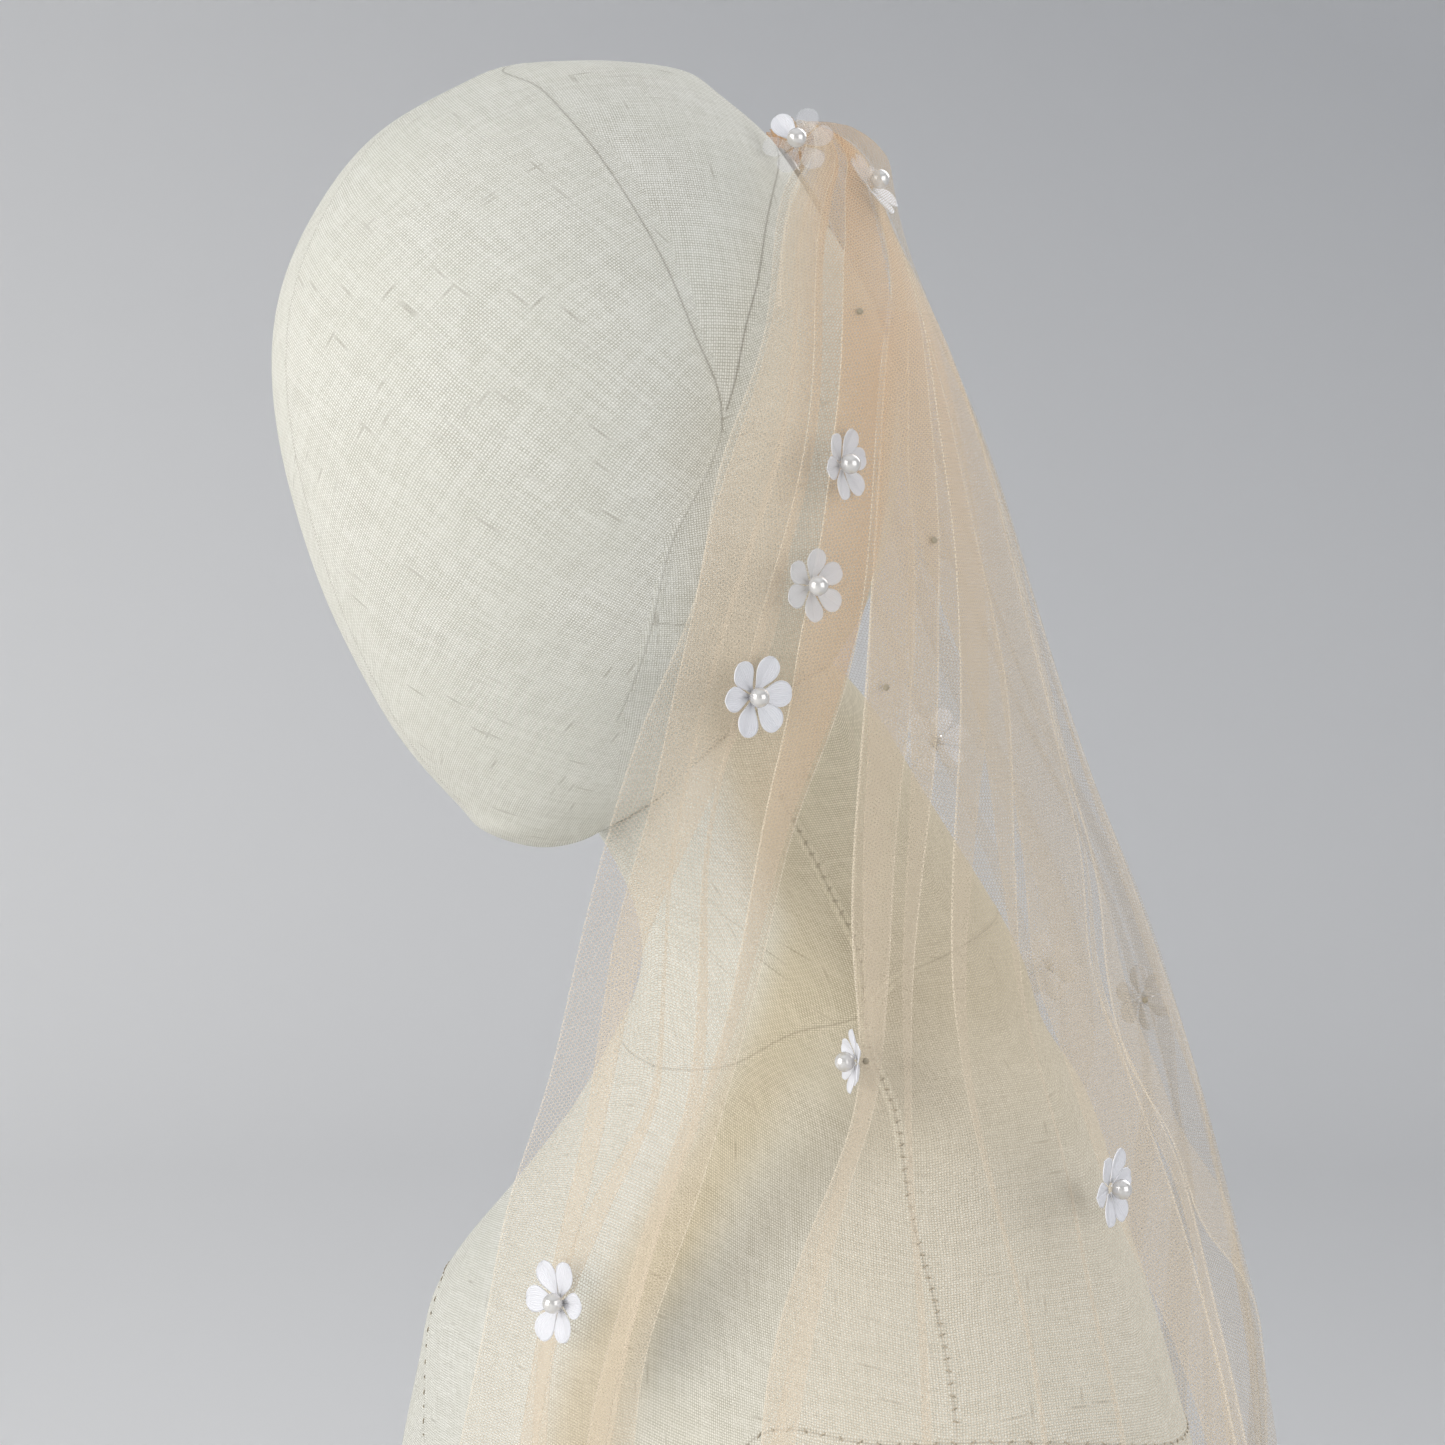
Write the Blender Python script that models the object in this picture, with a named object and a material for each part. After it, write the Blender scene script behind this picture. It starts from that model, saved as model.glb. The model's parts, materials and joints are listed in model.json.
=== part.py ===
# Bridal veil of soft net, gathered on a comb at the crown of a linen display form
# The form faces -Y, its left side is +X, and it stands on z = 0

import math

import bmesh
import bpy
import numpy as np
from mathutils import Matrix, Vector

for old in list(bpy.data.objects):
    bpy.data.objects.remove(old, do_unlink=True)

# Sizes, in millimetres unless a name says otherwise

MM = 0.001
WALL = 1.4                  # net falls, drawn as one wall
HEADER_WALL = 1.0
SEAM_GAP = 0.35             # between two stretches of the net
FLOWER_THICK = 1.0
FLOWER_CLEAR = 0.3
PEARL_RADIUS = 2.9
FORM_SIDES = 32
ARM_CUT = 176.5             # half-width at which the arm stumps are cut off
CAP_GAP = 0.4
CAP_THICK = 6.5
CAP_HALF_DEPTH = 33.0
CAP_HALF_HEIGHT = 37.0
CAP_CENTRE = (-9.0, 229.0)  # y, z

# Head of the form, a stack of ellipses: height, centre along y, half-depth, half-width
HEAD_ROWS = (
    (444.8, -91.7, 8.0, 7.3),
    (446.7, -91.9, 13.7, 12.5),
    (449.7, -92.2, 19.5, 17.5),
    (454.0, -89.5, 26.2, 23.5),
    (459.0, -85.6, 34.5, 30.5),
    (475.0, -79.3, 55.0, 42.5),
    (495.0, -74.6, 72.0, 54.0),
    (517.0, -72.8, 84.5, 63.8),
    (541.0, -73.5, 92.2, 70.8),
    (571.0, -75.8, 96.6, 75.5),
    (604.0, -79.7, 92.0, 73.0),
    (634.0, -82.7, 76.0, 61.0),
    (655.0, -81.0, 59.5, 47.0),
    (669.0, -77.3, 39.0, 30.5),
    (673.1, -75.6, 31.5, 24.6),
    (675.7, -74.2, 18.2, 14.2),
)
HEAD_POLES = ((443.7, -91.7), (676.9, -73.2))  # height, centre along y

# Neck, shoulders and torso: height, centre along y, half-depth, half-width
BODY_ROWS = (
    (0.0, -6.0, 86.0, 117.0),
    (12.0, -6.0, 88.0, 119.0),
    (54.0, -7.0, 92.0, 124.0),
    (104.0, -9.0, 102.0, 134.0),
    (144.0, -11.0, 111.0, 145.0),
    (174.0, -11.0, 111.0, 160.0),
    (194.0, -10.0, 108.0, 178.0),
    (211.0, -9.0, 104.0, 188.0),
    (229.0, -8.0, 100.0, 190.0),
    (247.0, -8.0, 96.0, 187.0),
    (264.0, -9.5, 92.0, 180.0),
    (281.0, -10.5, 89.0, 172.0),
    (299.0, -7.5, 85.0, 159.0),
    (319.0, -1.8, 80.0, 138.0),
    (339.0, 3.4, 74.0, 118.5),
    (357.0, 7.6, 69.0, 103.0),
    (373.0, 8.3, 64.0, 89.5),
    (387.0, 7.0, 60.0, 71.5),
    (401.0, 7.0, 58.0, 61.0),
    (419.0, 1.5, 56.0, 52.0),
    (439.0, -10.0, 55.0, 45.5),
    (464.0, -26.0, 54.0, 43.0),
    (486.0, -36.0, 48.0, 41.5),
    (500.0, -44.0, 40.0, 38.0),
)
BODY_POLES = ((0.0, -6.0), (503.0, -46.0))
BODY_SQUARENESS = 2.15

# Surface that the net hangs on, from the comb down to the hem
# height at the back, height at the sides, centre along y, half-depth behind, half-depth in front,
# half-width, fold depth, then the angles of the edges in degrees from the back, left side positive:
# front edge and rear edge of the front fall, near edge and far edge of the back fall
NET_ROWS = (
    (642.5, 656.0, -42.0, 33.0, 24.0, 28.0, 0.45, 62.0, 36.2, 33.0, -60.0),
    (658.0, 666.0, -42.0, 42.0, 30.0, 36.0, 0.75, 64.0, 36.2, 33.0, -60.0),
    (649.0, 649.0, -44.0, 55.0, 28.0, 48.0, 1.0, 74.0, 38.2, 35.5, -61.0),
    (637.0, 637.0, -45.5, 60.0, 28.0, 57.0, 1.4, 86.0, 43.0, 40.6, -63.0),
    (617.0, 617.0, -47.0, 69.0, 35.0, 70.0, 1.9, 97.5, 55.2, 53.2, -66.0),
    (591.0, 591.0, -46.5, 80.0, 50.0, 82.6, 2.4, 107.0, 71.3, 69.4, -71.0),
    (559.0, 559.0, -43.5, 92.0, 76.0, 87.0, 3.0, 114.0, 80.4, 78.6, -74.0),
    (524.0, 524.0, -41.0, 104.0, 97.0, 85.6, 3.4, 114.5, 84.6, 82.6, -76.0),
    (489.0, 489.0, -37.0, 115.0, 107.0, 80.4, 3.8, 121.0, 90.0, 85.0, -78.0),
    (454.0, 454.0, -31.0, 126.0, 110.0, 74.0, 4.2, 128.5, 98.5, 87.8, -80.0),
    (417.0, 417.0, -21.0, 133.0, 113.0, 78.0, 4.6, 139.0, 109.0, 94.0, -80.0),
    (381.0, 381.0, -12.0, 133.0, 116.0, 99.0, 5.0, 151.0, 122.5, 103.0, -80.0),
    (347.0, 347.0, -6.0, 127.0, 120.0, 134.0, 5.4, 163.0, 135.5, 119.5, -79.0),
    (309.0, 309.0, -2.0, 115.0, 124.0, 172.0, 5.8, 170.0, 146.5, 132.0, -76.0),
    (264.0, 264.0, 0.0, 104.0, 128.0, 198.0, 6.3, 175.0, 150.5, 136.5, -74.0),
    (214.0, 214.0, 0.0, 104.0, 134.0, 200.0, 6.8, 176.0, 151.0, 137.0, -73.0),
    (159.0, 159.0, 0.0, 107.0, 138.0, 203.0, 7.2, 176.0, 151.5, 137.0, -72.0),
    (39.0, 39.0, 0.0, 113.0, 140.0, 208.0, 7.6, 176.0, 152.0, 137.0, -72.0),
)
HEIGHT_BACK, HEIGHT_SIDE, CENTRE_Y, BACK, FRONT, HALF, DEPTH = range(7)
FRONT_EDGE, FRONT_END, BACK_EDGE, FAR_EDGE = range(7, 11)

# Folds of the front fall from its front edge: width, depth at the comb, depth at the hem, lean
FRONT_FOLDS = (
    (0.9, 0.8, 0.7, 0.02),
    (1.1, 1.0, 1.0, -0.04),
    (0.8, 0.9, 0.6, 0.05),
    (1.2, 1.0, 1.1, 0.03),
    (1.0, 0.8, 0.8, -0.05),
    (0.8, 1.0, 0.7, 0.00),
    (1.3, 0.9, 1.1, 0.04),
    (0.9, 1.0, 0.8, -0.03),
    (1.0, 0.9, 0.9, 0.02),
)
# Folds of the back fall from its near, rolled edge to the centre back
NEAR_FOLDS = (
    (0.6, 1.0, 0.8, 0.00),
    (0.9, 0.9, 0.7, 0.04),
    (1.2, 1.0, 0.9, -0.04),
    (1.0, 0.8, 0.6, 0.03),
    (1.3, 1.0, 1.0, 0.05),
    (0.9, 0.9, 0.7, -0.03),
    (1.1, 1.0, 1.1, 0.02),
    (0.8, 0.8, 0.8, 0.04),
    (0.9, 1.0, 1.0, -0.05),
    (0.7, 0.9, 0.9, 0.00),
    (0.8, 1.0, 1.0, 0.03),
    (1.0, 0.9, 0.8, 0.04),
    (0.8, 1.0, 1.0, -0.03),
    (1.0, 0.9, 0.9, 0.02),
)
# Folds of the back fall from the centre back to its far edge
FAR_FOLDS = (
    (1.1, 1.0, 1.0, 0.03),
    (0.9, 0.8, 0.8, -0.04),
    (1.2, 1.0, 1.0, 0.04),
    (0.8, 0.9, 0.8, 0.00),
    (1.0, 1.0, 1.0, -0.05),
    (1.3, 0.9, 0.9, 0.03),
    (0.9, 1.0, 0.8, 0.05),
    (1.1, 0.8, 1.0, -0.03),
    (0.8, 1.0, 0.7, 0.02),
    (1.2, 0.9, 1.0, 0.04),
    (1.0, 1.0, 0.8, -0.02),
    (0.8, 0.9, 0.8, 0.00),
)

# Flowers sewn on the net: angle on the net, height, side that it faces (1 out, -1 in),
# turn about the upright, tip back, spin in its own plane, radius
FLOWERS = (
    (89.8, 557.5, 1, 8.0, 4.0, 10.0, 11.4),
    (96.2, 523.5, 1, 6.0, 3.0, 24.0, 11.2),
    (105.5, 493.0, 1, 8.0, -3.0, 6.0, 12.4),
    (156.0, 322.0, 1, 18.0, 4.0, 3.0, 12.6),
    (164.0, 178.0, 1, 6.0, 0.0, 40.0, 12.0),
    (157.0, 92.0, 1, -8.0, 3.0, 15.0, 12.0),
    (83.0, 354.5, 1, 24.0, 0.0, 8.0, 11.6),
    (112.0, 196.0, 1, -6.0, 3.0, 33.0, 12.0),
    (58.0, 128.0, 1, 8.0, -2.0, 12.0, 12.0),
    (26.0, 226.0, 1, -4.0, 0.0, 50.0, 12.0),
    (-20.0, 533.0, 1, 0.0, 0.0, 20.0, 12.0),
    (-34.0, 466.0, 1, 5.0, 0.0, 44.0, 11.6),
    (-25.5, 390.0, 1, -10.0, 0.0, 9.0, 12.0),
    (-3.5, 383.0, 1, 0.0, 0.0, 14.0, 11.4),
    (-58.0, 330.0, 1, 4.0, 0.0, 28.0, 12.0),
    (-30.0, 250.0, 1, 0.0, 2.0, 17.0, 12.0),
    (-61.0, 138.0, 1, -5.0, 0.0, 36.0, 12.0),
    (-14.0, 104.0, 1, 3.0, 0.0, 5.0, 12.0),
    (52.0, 638.0, 1, 4.0, 34.0, 20.0, 11.4),
    (101.5, 388.0, 1, -84.0, 2.0, 30.0, 10.4),
    (76.0, 651.0, 1, -52.0, 24.0, 12.0, 11.2),
)
# Outline of one petal: degrees from its middle, share of the radius, rise
PETAL = (
    (-30.0, 0.36, 0.2),
    (-18.5, 0.82, 1.0),
    (-7.5, 0.99, 1.9),
    (7.5, 0.99, 1.9),
    (18.5, 0.82, 1.0),
)
PETALS = 6

# Header frill over the comb
HEADER_WAVES = 9
HEADER_SPAN = 50.0
# height at the back, height at the sides, half-depth, half-width, wave depth
HEADER_ROWS = (
    (646.6, 656.4, 28.4, 24.4, 0.5),
    (653.5, 662.5, 29.0, 25.0, 0.9),
    (660.5, 668.5, 30.4, 26.2, 1.3),
)
HEADER_CENTRE_Y = -42.0

# Comb under the gather, on the back of the head: drop from the gather's root, stand-off from the head
COMB_SPAN = 61.0
COMB_TEETH = 11
COMB_THICK = 1.4
COMB_DROPS = (1.25, 5.5, 19.0)
COMB_STAND = 1.3

# Moves the whole part so that its outline is centred over the origin
CENTRING = (-7.94, 19.89)


def material(name, colour, rough):
    made = bpy.data.materials.new(name)
    made.use_nodes = True
    shader = made.node_tree.nodes["Principled BSDF"]
    shader.inputs["Base Color"].default_value = (*colour, 1.0)
    shader.inputs["Roughness"].default_value = rough
    made.diffuse_color = (*colour, 1.0)
    return made


veil = bpy.data.collections.new("bridal_veil")
bpy.context.scene.collection.children.link(veil)
cutters = bpy.data.collections.new("cutters")
bpy.context.scene.collection.children.link(cutters)

LINEN = material("linen", (0.66, 0.65, 0.58), 0.9)
NET = material("champagne_net", (0.72, 0.55, 0.42), 0.8)
SATIN = material("white_satin", (0.86, 0.86, 0.88), 0.45)
PEARL = material("pearl", (0.80, 0.79, 0.76), 0.2)
WOOD = material("arm_cap_wood", (0.32, 0.19, 0.10), 0.5)
METAL = material("comb_metal", (0.62, 0.60, 0.57), 0.35)


def add_mesh(name, points, faces, look, home=veil):
    mesh = bpy.data.meshes.new(name)
    centred = [(p[0] + CENTRING[0], p[1] + CENTRING[1], p[2]) for p in points]
    mesh.from_pydata([tuple(float(v) * MM for v in p) for p in centred], [], faces)
    mesh.update()
    shape = bmesh.new()
    shape.from_mesh(mesh)
    bmesh.ops.recalc_face_normals(shape, faces=shape.faces)
    shape.to_mesh(mesh)
    shape.free()
    made = bpy.data.objects.new(name, mesh)
    made.data.materials.append(look)
    home.objects.link(made)
    return made


def power(value, squareness):
    return math.copysign(abs(value) ** (2.0 / squareness), value)


def stack(rows, poles, squareness, cut):
    """Closed body of rings, from the lowest row to the highest."""
    points, faces = [], []
    for height, centre, depth, half in rows:
        for side in range(FORM_SIDES):
            turn = 2.0 * math.pi * side / FORM_SIDES
            x = half * power(math.sin(turn), squareness)
            y = centre + depth * power(math.cos(turn), squareness)
            points.append((max(-cut, min(cut, x)), y, height))
    for row in range(len(rows) - 1):
        for side in range(FORM_SIDES):
            after = (side + 1) % FORM_SIDES
            low, high = row * FORM_SIDES, (row + 1) * FORM_SIDES
            faces.append((low + side, low + after, high + after, high + side))
    for end, (height, centre) in enumerate(poles):
        points.append((0.0, centre, height))
        first = 0 if end == 0 else (len(rows) - 1) * FORM_SIDES
        for side in range(FORM_SIDES):
            after = (side + 1) % FORM_SIDES
            faces.append((first + side, first + after, len(points) - 1))
    return points, faces


def thicken(points, normals, faces, wall):
    """Closed wall on both sides of a sheet."""
    points, normals = np.asarray(points), np.asarray(normals)
    both = np.concatenate([points + normals * wall / 2.0, points - normals * wall / 2.0])
    count = len(points)
    out = [tuple(face) for face in faces]
    out += [tuple(count + v for v in reversed(face)) for face in faces]
    used = {}
    for face in faces:
        for a, b in zip(face, face[1:] + face[:1]):
            used[(a, b)] = True
    for a, b in used:
        if (b, a) not in used:
            out.append((b, a, count + a, count + b))
    return both, out


def grid_faces(rows, columns):
    return [
        (r * columns + c, r * columns + c + 1, (r + 1) * columns + c + 1, (r + 1) * columns + c)
        for r in range(rows - 1)
        for c in range(columns - 1)
    ]


def grid_normals(grid, outward):
    """Unit normals of a grid of points, turned to the side of outward."""
    across = np.gradient(grid, axis=1)
    down = np.gradient(grid, axis=0)
    normal = np.cross(across, down)
    normal /= np.linalg.norm(normal, axis=2, keepdims=True)
    sign = np.sign((normal * outward).sum(axis=2, keepdims=True))
    return normal * np.where(sign == 0.0, 1.0, sign)


def net_point(row, degrees):
    """Point on the guide surface and its level outward direction."""
    turn = math.radians(degrees)
    sine, cosine = math.sin(turn), math.cos(turn)
    depth = row[BACK] if cosine >= 0.0 else row[FRONT]
    height = row[HEIGHT_BACK] + (row[HEIGHT_SIDE] - row[HEIGHT_BACK]) * sine * sine
    outward = np.array([sine / row[HALF], cosine / depth, 0.0])
    outward /= np.linalg.norm(outward)
    return np.array([row[HALF] * sine, row[CENTRE_Y] + depth * cosine, height]), outward


def fold_columns(folds):
    """Columns of a fall: place across it from 0 to 1, push at the comb, push at the hem."""
    whole = sum(fold[0] for fold in folds)
    columns, reached = [], 0.0
    for width, top, hem, lean in folds:
        share = width / whole
        columns.append((reached, -0.8 * top, -0.8 * hem))
        columns.append((reached + share * (0.25 + lean), 0.1, 0.1))
        columns.append((reached + share * (0.5 + lean), top, hem))
        columns.append((reached + share * (0.75 + lean), 0.1, 0.1))
        reached += share
    columns.append((1.0, -0.8 * folds[-1][1], -0.8 * folds[-1][2]))
    return columns


def fall_grid(columns, start, finish, from_share=0.0, to_share=1.0, shift=0.0):
    """Middle sheet of a fall and the direction in which its wall is thickened."""
    rows = []
    guides = []
    for index, row in enumerate(NET_ROWS):
        down = index / (len(NET_ROWS) - 1)
        line, guide = [], []
        for place, top, hem in columns:
            share = from_share + (to_share - from_share) * place
            degrees = row[start] + (row[finish] - row[start]) * share
            point, outward = net_point(row, degrees)
            if shift:
                ahead, _ = net_point(row, degrees + 0.1)
                along = (ahead - point) / np.linalg.norm(ahead - point)
                point = point + along * shift
            push = top + (hem - top) * down
            line.append(point + outward * push * row[DEPTH])
            guide.append(outward)
        rows.append(line)
        guides.append(guide)
    grid, guide = np.array(rows), np.array(guides)
    middle = grid_normals(grid, guide)
    # near the comb the wall is set square to the guide surface, lower down square to the cloth
    smooth = np.array(
        [[net_slope(index, outward) for outward in line] for index, line in enumerate(guides)]
    )
    blend = np.clip((np.arange(len(NET_ROWS)) - 4.0) / 6.0, 0.0, 1.0)[:, None, None]
    blend = np.repeat(blend, len(columns), axis=1)
    blend[:, (0, -1)] = 0.0
    normal = smooth * (1.0 - blend) + middle * blend
    normal /= np.linalg.norm(normal, axis=2, keepdims=True)
    return grid, normal


def net_slope(index, outward):
    """Outward direction of the guide surface, with the turn of the cloth over the comb."""
    lean = (-0.75, 0.75, 0.55, 0.42, 0.36, 0.30)
    rise = lean[index] if index < len(lean) else 0.28
    if index == 0:
        tilted = -outward * 0.65 + np.array([0.0, 0.0, 0.75])
        return -tilted / np.linalg.norm(tilted) * -1.0
    tilted = outward + np.array([0.0, 0.0, rise])
    return tilted / np.linalg.norm(tilted)


def build_fall(name, grid, normal):
    count = grid.shape[1]
    points, faces = thicken(
        grid.reshape(-1, 3), normal.reshape(-1, 3), grid_faces(len(grid), count), WALL
    )
    add_mesh(name, points, faces, NET)
    return grid


def on_rows(table, height):
    """Values of a table at a height between its rows."""
    order = sorted(table, key=lambda row: row[0])
    heights = [row[0] for row in order]
    return [float(np.interp(height, heights, [row[k] for row in order])) for k in range(len(order[0]))]


def dense(grid, across=4, down=14):
    """Points spread over every face of a grid."""
    spots = []
    for u in np.linspace(0.0, 1.0, down, endpoint=False):
        for v in np.linspace(0.0, 1.0, across + 1):
            a = grid[:-1, :-1] * (1 - u) * (1 - v)
            b = grid[1:, :-1] * u * (1 - v)
            c = grid[:-1, 1:] * (1 - u) * v
            d = grid[1:, 1:] * u * v
            spots.append((a + b + c + d).reshape(-1, 3))
    for t in np.linspace(0.0, 1.0, down):
        spots.append((grid[:-1, :-1] * (1 - t) + grid[1:, 1:] * t).reshape(-1, 3))
        spots.append((grid[1:, :-1] * (1 - t) + grid[:-1, 1:] * t).reshape(-1, 3))
    return np.concatenate(spots)


def flower_axes(outward, turn, tip, spin):
    """Two directions in the flower's plane and the one that it faces."""
    facing = Matrix.Rotation(math.radians(turn), 3, "Z") @ Vector(outward)
    side = Vector((0.0, 0.0, 1.0)).cross(facing).normalized()
    facing = (Matrix.Rotation(math.radians(-tip), 3, side) @ facing).normalized()
    up = facing.cross(side).normalized()
    turned = Matrix.Rotation(math.radians(spin), 3, facing)
    return np.array(turned @ side), np.array(turned @ up), np.array(facing)


def add_flower(number, centre, axes, radius):
    across, up, facing = axes
    ring = []
    for petal in range(PETALS):
        for degrees, share, rise in PETAL:
            turn = math.radians(360.0 / PETALS * petal + degrees)
            flat = across * math.cos(turn) + up * math.sin(turn)
            ring.append(centre + flat * radius * share + facing * rise)
    points = [centre] + ring
    faces = [(0, 1 + k, 1 + (k + 1) % len(ring)) for k in range(len(ring))]
    both, out = thicken(points, [facing] * len(points), faces, FLOWER_THICK)
    add_mesh(f"flower_{number:02d}", both, out, SATIN)
    middle = centre + facing * (FLOWER_THICK / 2.0 + 0.35 + PEARL_RADIUS)
    pearl = bmesh.new()
    bmesh.ops.create_uvsphere(pearl, u_segments=8, v_segments=5, radius=PEARL_RADIUS * MM)
    mesh = bpy.data.meshes.new(f"pearl_{number:02d}")
    pearl.to_mesh(mesh)
    pearl.free()
    middle = middle + np.array([CENTRING[0], CENTRING[1], 0.0])
    mesh.transform(Matrix.Translation(Vector(middle) * MM))
    made = bpy.data.objects.new(f"pearl_{number:02d}", mesh)
    made.data.materials.append(PEARL)
    veil.objects.link(made)


# Dress form: head and body joined in one

points, faces = stack(HEAD_ROWS, HEAD_POLES, 2.0, 1000.0)
head = add_mesh("head_shape", points, faces, LINEN, cutters)
head.hide_render = True
head.display_type = "WIRE"
points, faces = stack(BODY_ROWS, BODY_POLES, BODY_SQUARENESS, ARM_CUT)
form = add_mesh("dress_form", points, faces, LINEN)
join = form.modifiers.new("head", "BOOLEAN")
join.operation = "UNION"
join.solver = "EXACT"
join.object = head

# Wooden plates on the cut arm stumps

for side, label in ((1.0, "left"), (-1.0, "right")):
    plate, turns = [], 24
    depth, height = CAP_HALF_DEPTH, CAP_HALF_HEIGHT
    rims = ((0.0, 0.95), (0.8, 1.0), (CAP_THICK - 1.2, 1.0), (CAP_THICK, 0.93))
    for out, share in rims:
        for k in range(turns):
            turn = 2.0 * math.pi * k / turns
            x = side * (ARM_CUT + CAP_GAP + out)
            y = CAP_CENTRE[0] + depth * share * math.cos(turn)
            plate.append((x, y, CAP_CENTRE[1] + height * share * math.sin(turn)))
    faces = [
        (r * turns + k, r * turns + (k + 1) % turns, (r + 1) * turns + (k + 1) % turns, (r + 1) * turns + k)
        for r in range(len(rims) - 1)
        for k in range(turns)
    ]
    faces.append(tuple(range(turns)))
    faces.append(tuple(reversed(range((len(rims) - 1) * turns, len(rims) * turns))))
    add_mesh(f"arm_cap_{label}", plate, faces, WOOD)

# Net falls

front_grid, front_normal = fall_grid(fold_columns(FRONT_FOLDS), FRONT_EDGE, FRONT_END)
near_width = sum(fold[0] for fold in NEAR_FOLDS)
far_width = sum(fold[0] for fold in FAR_FOLDS)
meet = near_width / (near_width + far_width)
near_grid, near_normal = fall_grid(fold_columns(NEAR_FOLDS), BACK_EDGE, FAR_EDGE, 0.0, meet)
far_grid, far_normal = fall_grid(
    fold_columns(FAR_FOLDS), BACK_EDGE, FAR_EDGE, meet, 1.0, -SEAM_GAP
)
falls = {
    "front": (front_grid, front_normal),
    "near": (near_grid, near_normal),
    "far": (far_grid, far_normal),
}
build_fall("veil_front_fall", *falls["front"])
build_fall("veil_back_near", *falls["near"])
build_fall("veil_back_far", *falls["far"])

# Header frill

columns = 4 * HEADER_WAVES + 1
rows, ways = [], []
for back, sides, depth, half, wave in HEADER_ROWS:
    line, way = [], []
    for k in range(columns):
        turn = math.radians(HEADER_SPAN * (1.0 - 2.0 * k / (columns - 1)))
        sine, cosine = math.sin(turn), math.cos(turn)
        outward = np.array([sine / half, cosine / depth, 0.0])
        outward /= np.linalg.norm(outward)
        push = wave * (0.0, 1.0, 0.0, -1.0)[k % 4] * (1.0 + 0.25 * math.sin(1.7 * k))
        height = back + (sides - back) * sine * sine
        point = np.array([half * sine, HEADER_CENTRE_Y + depth * cosine, height])
        line.append(point + outward * push)
        way.append(outward)
    rows.append(line)
    ways.append(way)
both, out = thicken(
    np.array(rows).reshape(-1, 3), np.array(ways).reshape(-1, 3),
    grid_faces(len(HEADER_ROWS), columns), HEADER_WALL,
)
add_mesh("veil_gather", both, out, NET)


# Comb: a curved bar with a row of teeth that lie on the head

def head_back(x, height):
    """Point of the head's rear surface at a height and a place across it, with its outward direction."""
    found = []
    for level in (height - 0.5, height, height + 0.5):
        _, centre, depth, half = on_rows(HEAD_ROWS, level)
        found.append((centre + depth * math.sqrt(1.0 - (x / half) ** 2), half, depth, centre))
    y, half, depth, centre = found[1]
    rise = found[0][0] - found[2][0]
    outward = np.array([x / half**2, (y - centre) / depth**2, 0.0])
    outward /= outward[1]
    outward[2] = rise
    return np.array([x, y, height]), outward / np.linalg.norm(outward)


comb_columns = 2 * COMB_TEETH
points, ways, faces = [], [], []
for level, drop in enumerate(COMB_DROPS):
    for k in range(comb_columns):
        degrees = COMB_SPAN * (1.0 - 2.0 * k / (comb_columns - 1))
        root, _ = net_point(NET_ROWS[0], degrees)
        seat, outward = head_back(root[0], root[2] - drop)
        if level == 0:
            seat, outward = root - np.array([0.0, 0.0, drop]), outward * (1.0, 1.0, 0.0)
            outward /= np.linalg.norm(outward)
        else:
            seat = seat + outward * COMB_STAND
        points.append(seat)
        ways.append(outward)
for k in range(comb_columns - 1):
    faces.append((k, k + 1, comb_columns + k + 1, comb_columns + k))
    if k % 2 == 0:
        low = 2 * comb_columns
        faces.append((comb_columns + k, comb_columns + k + 1, low + k + 1, low + k))
both, out = thicken(points, ways, faces, COMB_THICK)
add_mesh("comb", both, out, METAL)

# Flowers and pearls

cloud = np.concatenate(
    [dense(grid + normal * side * WALL / 2.0) for grid, normal in falls.values() for side in (1, -1)]
)
for number, (degrees, height, side, turn, tip, spin, radius) in enumerate(FLOWERS, 1):
    base, outward = net_point(on_rows(NET_ROWS[2:], height), degrees)
    axes = flower_axes(outward * side, turn, tip, spin)
    offset = cloud - base
    level = offset @ axes[2]
    flat = np.linalg.norm(offset - level[:, None] * axes[2], axis=1)
    # the petals rise from the middle, so the cloth may come up under their tips
    level = level - np.interp(flat / radius, [0.0] + [p[1] for p in PETAL[:3]], [0.0] + [p[2] for p in PETAL[:3]])
    near = (flat < radius) & (np.abs(level) < 18.0)
    lift = float(level[near].max()) + FLOWER_THICK / 2.0 + FLOWER_CLEAR
    add_flower(number, base + axes[2] * lift, axes, radius)
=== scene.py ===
# Bridal veil of soft net on a linen display form: finishes, fine folds, satin flowers, light and camera

import json
import math

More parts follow.
